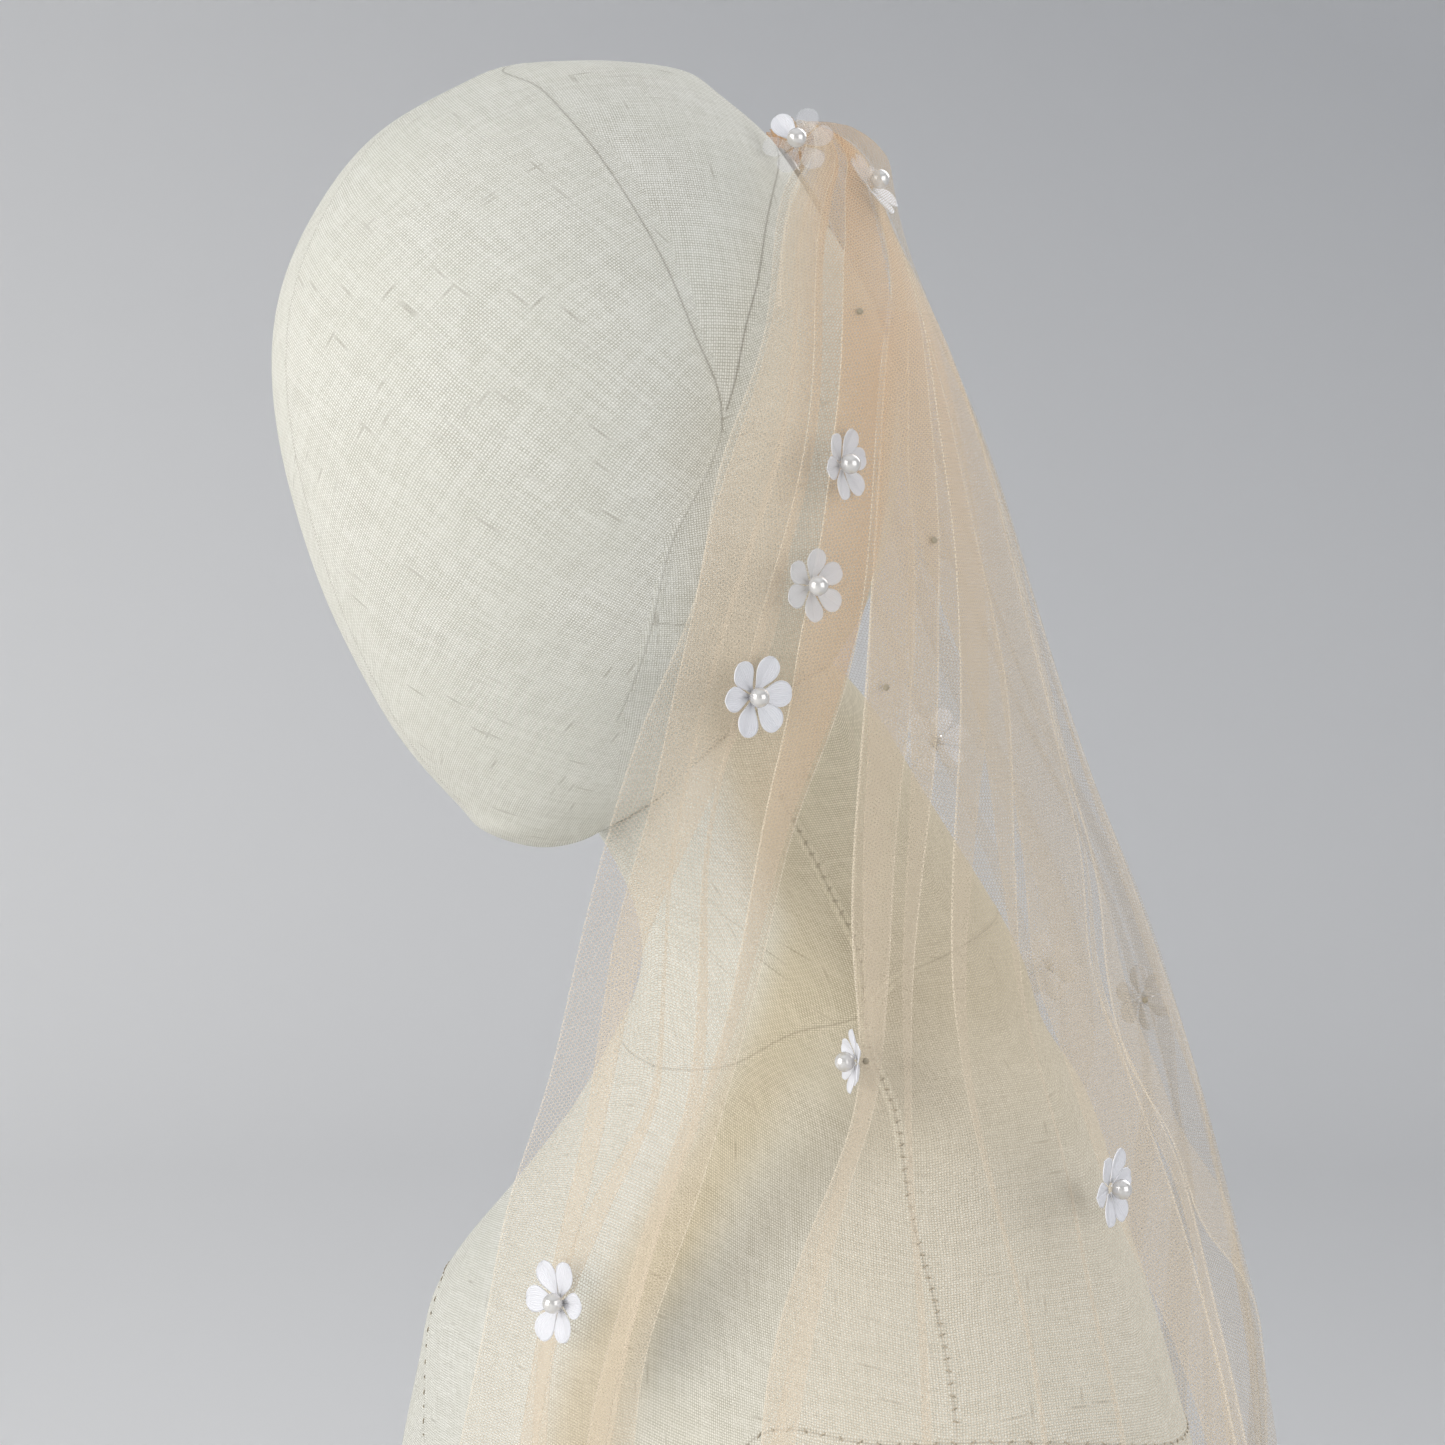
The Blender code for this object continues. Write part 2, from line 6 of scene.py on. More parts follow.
import bpy
import numpy as np
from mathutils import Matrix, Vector

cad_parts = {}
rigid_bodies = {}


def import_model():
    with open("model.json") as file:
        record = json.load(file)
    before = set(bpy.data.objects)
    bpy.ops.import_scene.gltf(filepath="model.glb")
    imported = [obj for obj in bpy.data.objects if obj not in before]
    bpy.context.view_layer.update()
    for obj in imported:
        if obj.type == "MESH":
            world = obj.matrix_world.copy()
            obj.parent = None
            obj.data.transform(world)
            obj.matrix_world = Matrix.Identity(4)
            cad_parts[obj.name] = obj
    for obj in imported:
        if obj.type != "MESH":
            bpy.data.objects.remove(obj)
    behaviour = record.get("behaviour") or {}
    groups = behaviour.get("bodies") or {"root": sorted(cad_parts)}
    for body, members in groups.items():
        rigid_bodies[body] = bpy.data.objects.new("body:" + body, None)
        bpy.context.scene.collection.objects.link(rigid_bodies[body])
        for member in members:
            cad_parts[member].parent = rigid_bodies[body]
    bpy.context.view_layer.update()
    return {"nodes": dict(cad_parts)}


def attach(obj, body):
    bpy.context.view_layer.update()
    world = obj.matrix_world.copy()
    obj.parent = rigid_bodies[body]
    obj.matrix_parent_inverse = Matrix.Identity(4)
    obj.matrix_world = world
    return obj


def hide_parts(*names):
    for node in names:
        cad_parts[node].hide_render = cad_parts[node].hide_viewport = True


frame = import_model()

MM = 0.001
CENTRING = np.array([-7.94, 19.89, 0.0])   # from the tables' axis to the part's own

# Tables shared with the solids, in millimetres -------------------------------------------------

# Head of the form: height, centre along y, half-depth, half-width
HEAD_ROWS = (
    (444.8, -91.7, 8.0, 7.3), (446.7, -91.9, 13.7, 12.5), (449.7, -92.2, 19.5, 17.5),
    (454.0, -89.5, 26.2, 23.5), (459.0, -85.6, 34.5, 30.5), (475.0, -79.3, 55.0, 42.5), (495.0, -74.6, 72.0, 54.0),
    (517.0, -72.8, 84.5, 63.8), (541.0, -73.5, 92.2, 70.8), (571.0, -75.8, 96.6, 75.5),
    (604.0, -79.7, 92.0, 73.0), (634.0, -82.7, 76.0, 61.0), (655.0, -81.0, 59.5, 47.0),
    (669.0, -77.3, 39.0, 30.5), (673.1, -75.6, 31.5, 24.6), (675.7, -74.2, 18.2, 14.2),
)
HEAD_POLES = ((443.7, -91.7), (676.9, -73.2))

# Neck, shoulders and torso, the same way
BODY_ROWS = (
    (0.0, -6.0, 86.0, 117.0), (12.0, -6.0, 88.0, 119.0), (54.0, -7.0, 92.0, 124.0),
    (104.0, -9.0, 102.0, 134.0), (144.0, -11.0, 111.0, 145.0), (174.0, -11.0, 111.0, 160.0),
    (194.0, -10.0, 108.0, 178.0), (211.0, -9.0, 104.0, 188.0), (229.0, -8.0, 100.0, 190.0),
    (247.0, -8.0, 96.0, 187.0), (264.0, -9.5, 92.0, 180.0), (281.0, -10.5, 89.0, 172.0),
    (299.0, -7.5, 85.0, 159.0), (319.0, -1.8, 80.0, 138.0), (339.0, 3.4, 74.0, 118.5),
    (357.0, 7.6, 69.0, 103.0), (373.0, 8.3, 64.0, 89.5), (387.0, 7.0, 60.0, 71.5),
    (401.0, 7.0, 58.0, 61.0), (419.0, 1.5, 56.0, 52.0), (439.0, -10.0, 55.0, 45.5),
    (464.0, -26.0, 54.0, 43.0), (486.0, -36.0, 48.0, 41.5), (500.0, -44.0, 40.0, 38.0),
)
BODY_TOP = (503.0, -46.0)
BODY_SQUARENESS = 2.15
ARM_CUT = 176.5

# Surface that the net hangs on: height at the back and at the sides, centre along y, half-depth
# behind and in front, half-width, fold depth, then the edges in degrees from the back, left
# side positive: front edge and rear edge of the front fall, near and far edge of the back fall
NET_ROWS = (
    (642.5, 656.0, -42.0, 33.0, 24.0, 28.0, 0.45, 62.0, 36.2, 33.0, -60.0),
    (658.0, 666.0, -42.0, 42.0, 30.0, 36.0, 0.75, 64.0, 36.2, 33.0, -60.0),
    (649.0, 649.0, -44.0, 55.0, 28.0, 48.0, 1.0, 74.0, 38.2, 35.5, -61.0),
    (637.0, 637.0, -45.5, 60.0, 28.0, 57.0, 1.4, 86.0, 43.0, 40.6, -63.0),
    (617.0, 617.0, -47.0, 69.0, 35.0, 70.0, 1.9, 97.5, 55.2, 53.2, -66.0),
    (591.0, 591.0, -46.5, 80.0, 50.0, 82.6, 2.4, 107.0, 71.3, 69.4, -71.0),
    (559.0, 559.0, -43.5, 92.0, 76.0, 87.0, 3.0, 114.0, 80.4, 78.6, -74.0),
    (524.0, 524.0, -41.0, 104.0, 97.0, 85.6, 3.4, 114.5, 84.6, 82.6, -76.0),
    (489.0, 489.0, -37.0, 115.0, 107.0, 80.4, 3.8, 121.0, 90.0, 85.0, -78.0),
    (454.0, 454.0, -31.0, 126.0, 110.0, 74.0, 4.2, 128.5, 98.5, 87.8, -80.0),
    (417.0, 417.0, -21.0, 133.0, 113.0, 78.0, 4.6, 139.0, 109.0, 94.0, -80.0),
    (381.0, 381.0, -12.0, 133.0, 116.0, 99.0, 5.0, 151.0, 122.5, 103.0, -80.0),
    (347.0, 347.0, -6.0, 127.0, 120.0, 134.0, 5.4, 163.0, 135.5, 119.5, -79.0),
    (309.0, 309.0, -2.0, 115.0, 124.0, 172.0, 5.8, 170.0, 146.5, 132.0, -76.0),
    (264.0, 264.0, 0.0, 104.0, 128.0, 198.0, 6.3, 175.0, 150.5, 136.5, -74.0),
    (214.0, 214.0, 0.0, 104.0, 134.0, 200.0, 6.8, 176.0, 151.0, 137.0, -73.0),
    (159.0, 159.0, 0.0, 107.0, 138.0, 203.0, 7.2, 176.0, 151.5, 137.0, -72.0),
    (39.0, 39.0, 0.0, 113.0, 140.0, 208.0, 7.6, 176.0, 152.0, 137.0, -72.0),
)
HEIGHT_BACK, HEIGHT_SIDE, CENTRE_Y, BACK, FRONT, HALF, DEPTH = range(7)
FRONT_EDGE, FRONT_END, BACK_EDGE, FAR_EDGE = range(7, 11)

# Pleats of each fall, from its near edge. Side 1 lays the tuck on the near side of the visible
# edge, -1 on the far side. Then the edge's path and the tuck's width, as row of NET_ROWS, degrees
FRONT_PLEATS = (
    (-1, ((0, 58), (2, 69), (3, 81), (4, 94), (5, 105), (6, 112), (6.6, 114), (7.1, 114.6), (7.8, 116.7),
          (8.9, 121.5), (10, 132.9), (11.2, 145.8), (12.2, 156), (13, 162.3), (14, 167), (17, 168)),
     ((0, 6), (3, 13), (5, 15), (7, 15), (8.5, 11), (10, 7), (11.5, 5), (13, 4), (17, 4))),
    (1, ((0, 54), (2, 63), (4, 87), (7, 107), (9, 117), (10.3, 126.5), (11.1, 134.1), (11.9, 146.4),
         (12.5, 154.5), (13, 160), (14, 163.5), (17, 164)),
     ((0, 1), (6, 1), (9, 0.6), (11, 2), (12, 6), (13, 5), (17, 4))),
    (-1, ((0, 51), (2, 60), (4, 82), (7, 102), (9, 112), (10.3, 121), (11.1, 129.3), (11.9, 140.4),
          (12.5, 147.3), (13.4, 155.4), (14.5, 158), (17, 159)),
     ((0, 1.5), (6, 2), (9, 0.8), (11, 3), (12.5, 4), (17, 4))),
    (-1, ((0, 45), (2, 54), (3, 62.5), (4.4, 77.4), (5.3, 85.2), (5.8, 89), (6.8, 93.6), (7.4, 96.3),
          (8.2, 99), (9.5, 107.5), (10.2, 115), (11.4, 132), (12.1, 141), (12.8, 148), (13.4, 152), (17, 155)),
     ((0, 6), (3, 14), (5, 16), (6, 14), (7, 11), (8.5, 6), (11, 2), (17, 2))),
)
NEAR_PLEATS = (
    (1, ((0, 31), (3, 37.5), (4, 49), (5.2, 66), (6, 72.5), (6.8, 74.1), (7.8, 76.8), (8.6, 79.8), (9.3, 83.7),
         (10.2, 91.2), (11.1, 102.3), (11.7, 112.2), (12.7, 125.1), (13.4, 131.1), (17, 131.5)),
     ((0, 1.5), (4, 3), (6, 6), (7, 8), (8.6, 6), (10.2, 5), (11.7, 3.5), (13.4, 4), (17, 4))),
    (1, ((0, 28.5), (3, 35), (4, 44), (5.5, 62), (7, 69), (9, 77), (10.5, 90), (12, 106), (13.4, 117), (17, 118)),
     ((0, 3), (4, 7), (7, 6), (9, 3), (12, 1.5), (17, 5))),
    (-1, ((0, 26), (3, 32), (4, 41), (5.5, 59), (7, 64), (9, 72), (10.5, 83), (12, 95), (13.4, 104), (17, 105)),
     ((0, 3), (4, 8), (7, 9), (9, 5), (12, 1.2), (17, 4))),
    (1, ((0, 24), (3, 30.5), (4, 42.3), (4.7, 49.5), (5.5, 54.3), (6, 56), (6.6, 56), (7.1, 55), (8, 55),
         (9.4, 63), (10.4, 71), (11.5, 78), (12.7, 88), (13.4, 92), (17, 92)),
     ((0, 5), (3, 7), (4.7, 14), (6, 17), (7, 15), (8, 9), (9.4, 3), (10.4, 1), (12.7, 1), (17, 3))),
    (1, ((0, 21.5), (3, 28), (4, 34), (5.5, 38), (7, 39.3), (8.2, 42), (9.3, 46.2), (10.4, 55.8), (10.9, 57.6),
         (11.4, 60.6), (12.1, 65.4), (12.8, 70.5), (13.4, 74.5), (17, 76)),
     ((0, 3), (4, 8), (5.5, 14), (7, 15), (8.2, 14), (9.4, 13), (10.4, 11.5), (11.2, 11), (12.2, 9.5), (12.7, 7), (13.3, 4.5), (17, 5))),
    (1, ((0, 20), (3, 26), (5.5, 36.5), (7, 37.6), (9.3, 44.5), (10.4, 54.6), (11.4, 58.3), (12.2, 60.5),
         (12.9, 66.5), (13.4, 70.5), (17, 71)),
     ((0, 1), (7, 0.8), (10.4, 0.8), (11.8, 2), (12.9, 3.2), (17, 4))),
    (-1, ((0, 18), (3, 24), (5.5, 33.5), (7, 35), (9.3, 42), (10.4, 53), (11, 57), (11.8, 56.6), (12.3, 55),
          (12.8, 49.5), (13.5, 46), (17, 44)),
     ((0, 4), (4, 4), (7, 3), (9.3, 4), (10.4, 4), (11.8, 9), (12.8, 11), (17, 8))),
    (1, ((0, 13), (3, 18), (5.5, 24), (7, 25.5), (9.3, 27), (10.4, 31), (12, 36), (14, 36), (17, 35)),
     ((0, 4), (4, 3), (7, 2.5), (10, 3), (13, 4), (17, 5))),
)
FAR_PLEATS = (
    (-1, ((0, -19), (3, -7), (6, -3), (9, 3), (12, 14), (14, 17), (17, 18)),
     ((0, 5), (4, 3), (8, 2), (12, 4), (17, 6))),
    (1, ((0, -25), (3, -14), (6, -13), (9, -7), (12, 1), (14, 5), (17, 7)),
     ((0, 4), (4, 2), (8, 2), (12, 3), (17, 5))),
    (-1, ((0, -31), (3, -23), (6, -22), (9, -19), (12, -12), (17, -9)),
     ((0, 5), (4, 4), (8, 4), (12, 5), (17, 6))),
    (1, ((0, -37), (3, -33), (6, -35), (9, -33), (12, -25), (17, -20)),
     ((0, 4), (4, 2), (8, 2), (12, 3), (17, 5))),
    (-1, ((0, -42), (3, -41), (6, -44), (9, -45), (12, -39), (17, -33)),
     ((0, 4), (4, 4), (8, 4), (12, 5), (17, 6))),
    (1, ((0, -47), (3, -48), (6, -53), (9, -56), (12, -52), (17, -46)),
     ((0, 4), (4, 6), (8, 6), (12, 4), (17, 5))),
    (-1, ((0, -52), (3, -55), (6, -61), (9, -66), (12, -64), (17, -57)),
     ((0, 3), (4, 3), (8, 4), (12, 5), (17, 5))),
    (1, ((0, -56), (3, -60), (6, -69), (9, -74), (12, -73), (17, -66)),
     ((0, 2), (4, 4), (8, 4), (12, 3), (17, 4))),
)
# Share of the back fall, at the comb and lower, where its near stretch meets its far one
MEET = 0.533

# Helpers ---------------------------------------------------------------------------------------


def natural_spline(knots, values, at):
    """Smooth curve through values at knots, for each column of values."""
    knots, values, at = np.asarray(knots, float), np.asarray(values, float), np.asarray(at, float)
    count = len(knots)
    step = np.diff(knots)
    slope = np.diff(values, axis=0) / step[:, None]
    system = np.eye(count)
    right = np.zeros((count, values.shape[1]))
    for k in range(1, count - 1):
        system[k, k - 1], system[k, k], system[k, k + 1] = step[k - 1], 2 * (step[k - 1] + step[k]), step[k]
        right[k] = 6 * (slope[k] - slope[k - 1])
    bend = np.linalg.solve(system, right)
    k = np.clip(np.searchsorted(knots, at) - 1, 0, count - 2)
    h = step[k][:, None]
    a = (knots[k + 1] - at)[:, None]
    b = (at - knots[k])[:, None]
    return (
        bend[k] * a ** 3 / (6 * h) + bend[k + 1] * b ** 3 / (6 * h)
        + (values[k] / h - bend[k] * h / 6) * a + (values[k + 1] / h - bend[k + 1] * h / 6) * b
    )


def noise_lines(seed, count, low, high):
    """A few seeded sine waves: frequency, phase and strength, for unevenness that repeats each run."""
    draw = np.random.default_rng(seed)
    return [(draw.uniform(low, high), draw.uniform(0, 2 * math.pi), draw.uniform(0.4, 1.0)) for _ in range(count)]


def wander(lines, at):
    total = sum(s for _, _, s in lines)
    return sum(s * np.sin(f * at + p) for f, p, s in lines) / total


def build(name, points, faces, material, uv=None, marks=None, smooth=True):
    """Mesh object from points in the tables' millimetres. uv is in millimetres, per point or per corner."""
    points = (np.asarray(points, float) + CENTRING) * MM
    mesh = bpy.data.meshes.new(name)
    faces = [tuple(int(v) for v in face) for face in faces]
    mesh.from_pydata([tuple(p) for p in points], [], faces)
    if smooth:
        mesh.polygons.foreach_set("use_smooth", np.ones(len(mesh.polygons), bool))
    if uv is not None:
        uv = np.asarray(uv, np.float32)
        if len(uv) != len(mesh.loops):
            corners = np.zeros(len(mesh.loops), np.int32)
            mesh.loops.foreach_get("vertex_index", corners)
            uv = uv[corners]
        layer = mesh.uv_layers.new(name="cloth")
        layer.data.foreach_set("uv", uv.ravel())
    for label, values in (marks or {}).items():
        layer = mesh.attributes.new(label, "FLOAT", "POINT")
        layer.data.foreach_set("value", np.asarray(values, np.float32).ravel())
    mesh.update()
    made = bpy.data.objects.new(name, mesh)
    made.data.materials.append(material)
    bpy.context.scene.collection.objects.link(made)
    return made


def grid_faces(rows, columns, closed=False, start=0):
    r, c = np.meshgrid(np.arange(rows - 1), np.arange(columns if closed else columns - 1), indexing="ij")
    after = (c + 1) % columns
    quads = np.stack([r * columns + c, r * columns + after, (r + 1) * columns + after, (r + 1) * columns + c], -1)
    return (quads.reshape(-1, 4) + start).tolist()


# Materials -------------------------------------------------------------------------------------


class Nodes:
    """Short calls for a material's nodes."""

    def __init__(self, name):
        self.material = bpy.data.materials.new(name)
        self.material.use_nodes = True
        self.tree = self.material.node_tree
        self.tree.nodes.clear()
        self.out = self.tree.nodes.new("ShaderNodeOutputMaterial")

    def put(self, kind, links=None, **settings):
        node = self.tree.nodes.new(kind)
        for key, value in settings.items():
            setattr(node, key, value)
        for key, value in (links or {}).items():
            socket = node.inputs[key]
            if isinstance(value, bpy.types.NodeSocket):
                self.tree.links.new(value, socket)
            else:
                socket.default_value = value
        return node

    def math(self, operation, a, b=0.0, c=0.0, clamp=False):
        return self.put("ShaderNodeMath", {0: a, 1: b, 2: c}, operation=operation, use_clamp=clamp).outputs[0]

    def ramp(self, value, low, high, to_low=0.0, to_high=1.0, kind="SMOOTHSTEP"):
        links = {"Value": value, "From Min": low, "From Max": high, "To Min": to_low, "To Max": to_high}
        return self.put("ShaderNodeMapRange", links, interpolation_type=kind).outputs[0]

    def mix(self, share, a, b):
        node = self.put("ShaderNodeMix", data_type="RGBA")
        for key, value in ((0, share), (6, a), (7, b)):
            if isinstance(value, bpy.types.NodeSocket):
                self.tree.links.new(value, node.inputs[key])
            else:
                node.inputs[key].default_value = value
        return node.outputs[2]

    def noise(self, place, scale, detail=2.0, rough=0.5, distortion=0.0):
        links = {"Vector": place, "Scale": scale, "Detail": detail, "Roughness": rough, "Distortion": distortion}
        return self.put("ShaderNodeTexNoise", links).outputs[0]

    def shader(self, **links):
        named = {key.replace("_", " "): value for key, value in links.items()}
        node = self.put("ShaderNodeBsdfPrincipled", named)
        self.tree.links.new(node.outputs[0], self.out.inputs[0])
        return node

    def bump(self, height, strength, distance):
        return self.put("ShaderNodeBump", {"Height": height, "Strength": strength, "Distance": distance}).outputs[0]


def colour(r, g, b):
    """Linear colour from the 0 to 255 steps of a screen."""
    return tuple((v / 255.0 / 12.92) if v <= 10 else ((v / 255.0 + 0.055) / 1.055) ** 2.4 for v in (r, g, b)) + (1.0,)


def linen_material(name, pitch):
    """Plain weave of uneven flax threads, with a few thin dark slubs, a darker line where a seam runs that is partly
    painted shade in its channel, painted shadows that the front fall and flowers cast, and painted shade of the net
    over it.
    """
    n = Nodes(name)
    uv = n.put("ShaderNodeUVMap", uv_map="cloth").outputs[0]
    wobble = n.put("ShaderNodeTexNoise", {"Vector": uv, "Scale": 0.05, "Detail": 0.0}).outputs[1]
    wobble = n.put("ShaderNodeVectorMath", {0: wobble, 3: 1.4}, operation="SCALE").outputs[0]
    moved = n.put("ShaderNodeVectorMath", {0: uv, 1: wobble}, operation="ADD").outputs[0]
    parts = n.put("ShaderNodeSeparateXYZ", {0: moved})
    waves, shades, slubs = [], [], []
    for this, other, length, share in ((0, 1, 8.0, 0.990), (1, 0, 10.0, 0.986)):
        thread = n.math("DIVIDE", parts.outputs[this], pitch)
        waves.append(n.math("SINE", n.math("MULTIPLY", thread, math.pi)))
        number = n.math("FLOOR", thread)
        start = n.put("ShaderNodeTexWhiteNoise", {"W": number}, noise_dimensions="1D").outputs[0]
        along = n.math("MULTIPLY_ADD", start, 9.0, n.math("DIVIDE", parts.outputs[other], length))
        stretch = n.put("ShaderNodeCombineXYZ", {0: number, 1: n.math("FLOOR", along), 2: float(this)}).outputs[0]
        chance = n.put("ShaderNodeTexWhiteNoise", {"Vector": stretch}, noise_dimensions="3D").outputs[0]
        window = n.math("SINE", n.math("MULTIPLY", n.math("FRACT", along), math.pi))
        shades.append(chance)
        slubs.append(n.math("MULTIPLY", n.math("GREATER_THAN", chance, share), window))
    holes = n.math("MULTIPLY", n.math("ABSOLUTE", waves[0]), n.math("ABSOLUTE", waves[1]))
    level = n.math("MULTIPLY_ADD", n.math("MULTIPLY", waves[0], waves[1]), 0.25, holes)
    shade = n.math("ADD", shades[0], shades[1])
    patch = n.noise(moved, 0.03, 1.0)
    slub = n.math("ADD", slubs[0], slubs[1], clamp=True)
    slub = n.math("MULTIPLY", n.math("MULTIPLY", slub, holes), n.ramp(patch, 0.4, 0.6, 0.25, 0.7))
    base = n.mix(n.ramp(level, 0.0, 0.8), LINEN_LOW, LINEN_HIGH)
    base = n.mix(n.ramp(shade, 0.3, 1.7, 0.0, 0.30, "LINEAR"), base, LINEN_PALE)
    base = n.mix(n.ramp(patch, 0.35, 0.65, 0.0, 0.22), base, LINEN_GREEN)
    base = n.mix(slub, base, LINEN_SLUB)
    # the seam mark darkens the colour: the seams' lines, partly painted shade in their channels, and on the body
    # painted shadows of the fall and flowers
    seam = n.put("ShaderNodeAttribute", attribute_name="seam").outputs["Fac"]
    base = n.mix(seam, base, LINEN_SEAM_AND_SHADOW)
    # painted shade of the net: where it hangs over the linen, the colour is multiplied by the tint of the light that
    # comes through
    veil_shadow = n.put("ShaderNodeAttribute", attribute_name="veil_shadow").outputs["Fac"]
    base = n.mix(veil_shadow, base, n.put("ShaderNodeMix", {0: 1.0, 6: base, 7: VEIL_SHADOW_TINT}, data_type="RGBA", blend_type="MULTIPLY").outputs[2])
    height = n.math("MULTIPLY_ADD", shade, 0.18, level)
    n.shader(
        Base_Color=base, Roughness=0.9, Normal=n.bump(height, 0.4, 0.0004),
        Sheen_Weight=0.08, Sheen_Roughness=0.6, Specular_IOR_Level=0.2,
    )
    return n.material


def net_material(name, pitch, thread_cover, thread, gathered, turned):
    """Fine hexagonal net: see-through holes, threads that show more where the cloth is gathered, and there a deeper
    peach that is partly painted shade in the gathers and warm light passed between the layers.
    """
    n = Nodes(name)
    uv = n.put("ShaderNodeUVMap", uv_map="cloth").outputs[0]
    parts = n.put("ShaderNodeSeparateXYZ", {0: uv})
    turn = 2.0 * math.pi / pitch
    across = n.math("MULTIPLY", parts.outputs[0], turn)
    down = n.math("MULTIPLY", parts.outputs[1], turn / math.sqrt(3.0))
    ripple = n.math("MULTIPLY", n.math("COSINE", across), n.math("COSINE", down))
    web = n.math("MULTIPLY_ADD", ripple, 2.0, n.math("COSINE", n.math("MULTIPLY", down, 2.0)))
    dense = n.put("ShaderNodeAttribute", attribute_name="dense").outputs["Fac"]
    edge = n.put("ShaderNodeAttribute", attribute_name="edge").outputs["Fac"]
    thin = n.put("ShaderNodeAttribute", attribute_name="thin").outputs["Fac"]
    threads = n.math("MULTIPLY", n.ramp(web, -1.15, -0.55, thread_cover, 0.0), n.math("SUBTRACT", 1.0, thin))
    clear = n.math("MULTIPLY", n.math("SUBTRACT", 1.0, threads), n.math("SUBTRACT", 1.0, dense))
    clear = n.math("MULTIPLY", clear, n.math("SUBTRACT", 1.0, edge))
    alpha = n.math("SUBTRACT", 1.0, clear, clamp=True)
    base = n.mix(n.ramp(dense, 0.06, 0.44), thread, gathered)
    base = n.mix(n.ramp(edge, 0.0, 0.25), base, turned)
    n.shader(Base_Color=base, Roughness=0.8, Alpha=alpha, Specular_IOR_Level=0.1)
    return n.material


def plain_material(name, tone, rough, **more):
    n = Nodes(name)
    place = n.put("ShaderNodeTexCoord").outputs["Object"]
    tint = n.noise(place, more.pop("scale", 300.0), 3.0)
    dark = tuple(v * 0.82 for v in tone[:3]) + (1.0,)
    n.shader(Base_Color=n.mix(tint, dark, tone), Roughness=rough, **more)
    return n.material


def wood_material(name):
    n = Nodes(name)
    place = n.put("ShaderNodeTexCoord").outputs["Object"]
    long = n.put("ShaderNodeMapping", {"Vector": place, "Scale": (60.0, 60.0, 9.0)}).outputs[0]
    rings = n.put("ShaderNodeTexWave", {"Vector": long, "Scale": 1.3, "Distortion": 5.0, "Detail": 3.0}).outputs[1]
    fine = n.noise(n.put("ShaderNodeMapping", {"Vector": place, "Scale": (900.0, 900.0, 60.0)}).outputs[0], 1.0, 3.0)
    base = n.mix(rings, colour(120, 78, 44), colour(160, 110, 66))
    base = n.mix(n.ramp(fine, 0.4, 0.75, 0.0, 0.5), base, colour(84, 52, 30))
    n.shader(Base_Color=base, Roughness=n.ramp(fine, 0.2, 0.8, 0.38, 0.6), Normal=n.bump(fine, 0.2, 0.0003), Coat_Weight=0.15, Coat_Roughness=0.3)
    return n.material


def satin_material(name):
    """White satin with the fine ribs that run out along each petal, and a faint painted glow for the light that comes
    through the thin satin.
    """
    n = Nodes(name)
    uv = n.put("ShaderNodeUVMap", uv_map="cloth").outputs[0]
    parts = n.put("ShaderNodeSeparateXYZ", {0: uv})
    ribs = n.math("SINE", n.math("MULTIPLY", parts.outputs[0], 2.0 * math.pi / 0.55))
    fine = n.noise(uv, 1.2, 2.0)
    base = n.mix(n.ramp(ribs, -1.0, 1.0, 0.0, 0.5), colour(240, 240, 244), colour(224, 224, 230))
    base = n.mix(n.ramp(fine, 0.3, 0.7, 0.0, 0.4), base, colour(234, 234, 238))
    sheer = n.put("ShaderNodeAttribute", attribute_name="sheer").outputs["Fac"]
    # the faint white emission is painted light: the petals glow a little, for light that comes through the satin
    n.shader(
        Base_Color=base, Roughness=0.36, Normal=n.bump(ribs, 0.35, 0.0002), Alpha=n.math("SUBTRACT", 1.0, sheer),
        Sheen_Weight=0.4, Sheen_Roughness=0.3, Specular_IOR_Level=0.6, Anisotropic=0.5,
        Emission_Color=colour(255, 250, 246), Emission_Strength=0.03,
    )
    return n.material


def pearl_material(name):
    n = Nodes(name)
    place = n.put("ShaderNodeTexCoord").outputs["Object"]
    cloud = n.noise(place, 500.0, 2.0)
    base = n.mix(cloud, colour(204, 201, 197), colour(232, 229, 225))
    n.shader(
        Base_Color=base, Roughness=n.ramp(cloud, 0.3, 0.7, 0.14, 0.22), Coat_Weight=0.9, Coat_Roughness=0.05,
        Metallic=0.35, Specular_IOR_Level=0.8,
    )
    return n.material


LINEN_LOW, LINEN_HIGH, LINEN_PALE = colour(180, 177, 163), colour(236, 235, 226), colour(248, 247, 240)
LINEN_GREEN, LINEN_SLUB, LINEN_SEAM_AND_SHADOW = colour(212, 211, 198), colour(128, 118, 100), colour(100, 88, 72)
VEIL_SHADOW_TINT = (0.83, 0.725, 0.57, 1.0)   # painted shade: tint of the light that comes through the net on to the linen
LINEN = linen_material("linen_look", 0.8)
# the third colour, the deep peach of gathered net, is partly painted shade and painted light passed between layers
NET = net_material("net_look", 1.2, 0.62, colour(213, 197, 174), colour(210, 169, 127), colour(238, 224, 202))
WOOD = wood_material("wood_look")
METAL = plain_material("metal_look", colour(196, 192, 186), 0.3, Metallic=1.0)
SATIN = satin_material("satin_look")
PEARL = pearl_material("pearl_look")
THREAD = plain_material("thread_look", colour(172, 160, 138), 0.6)

# Linen form ------------------------------------------------------------------------------------


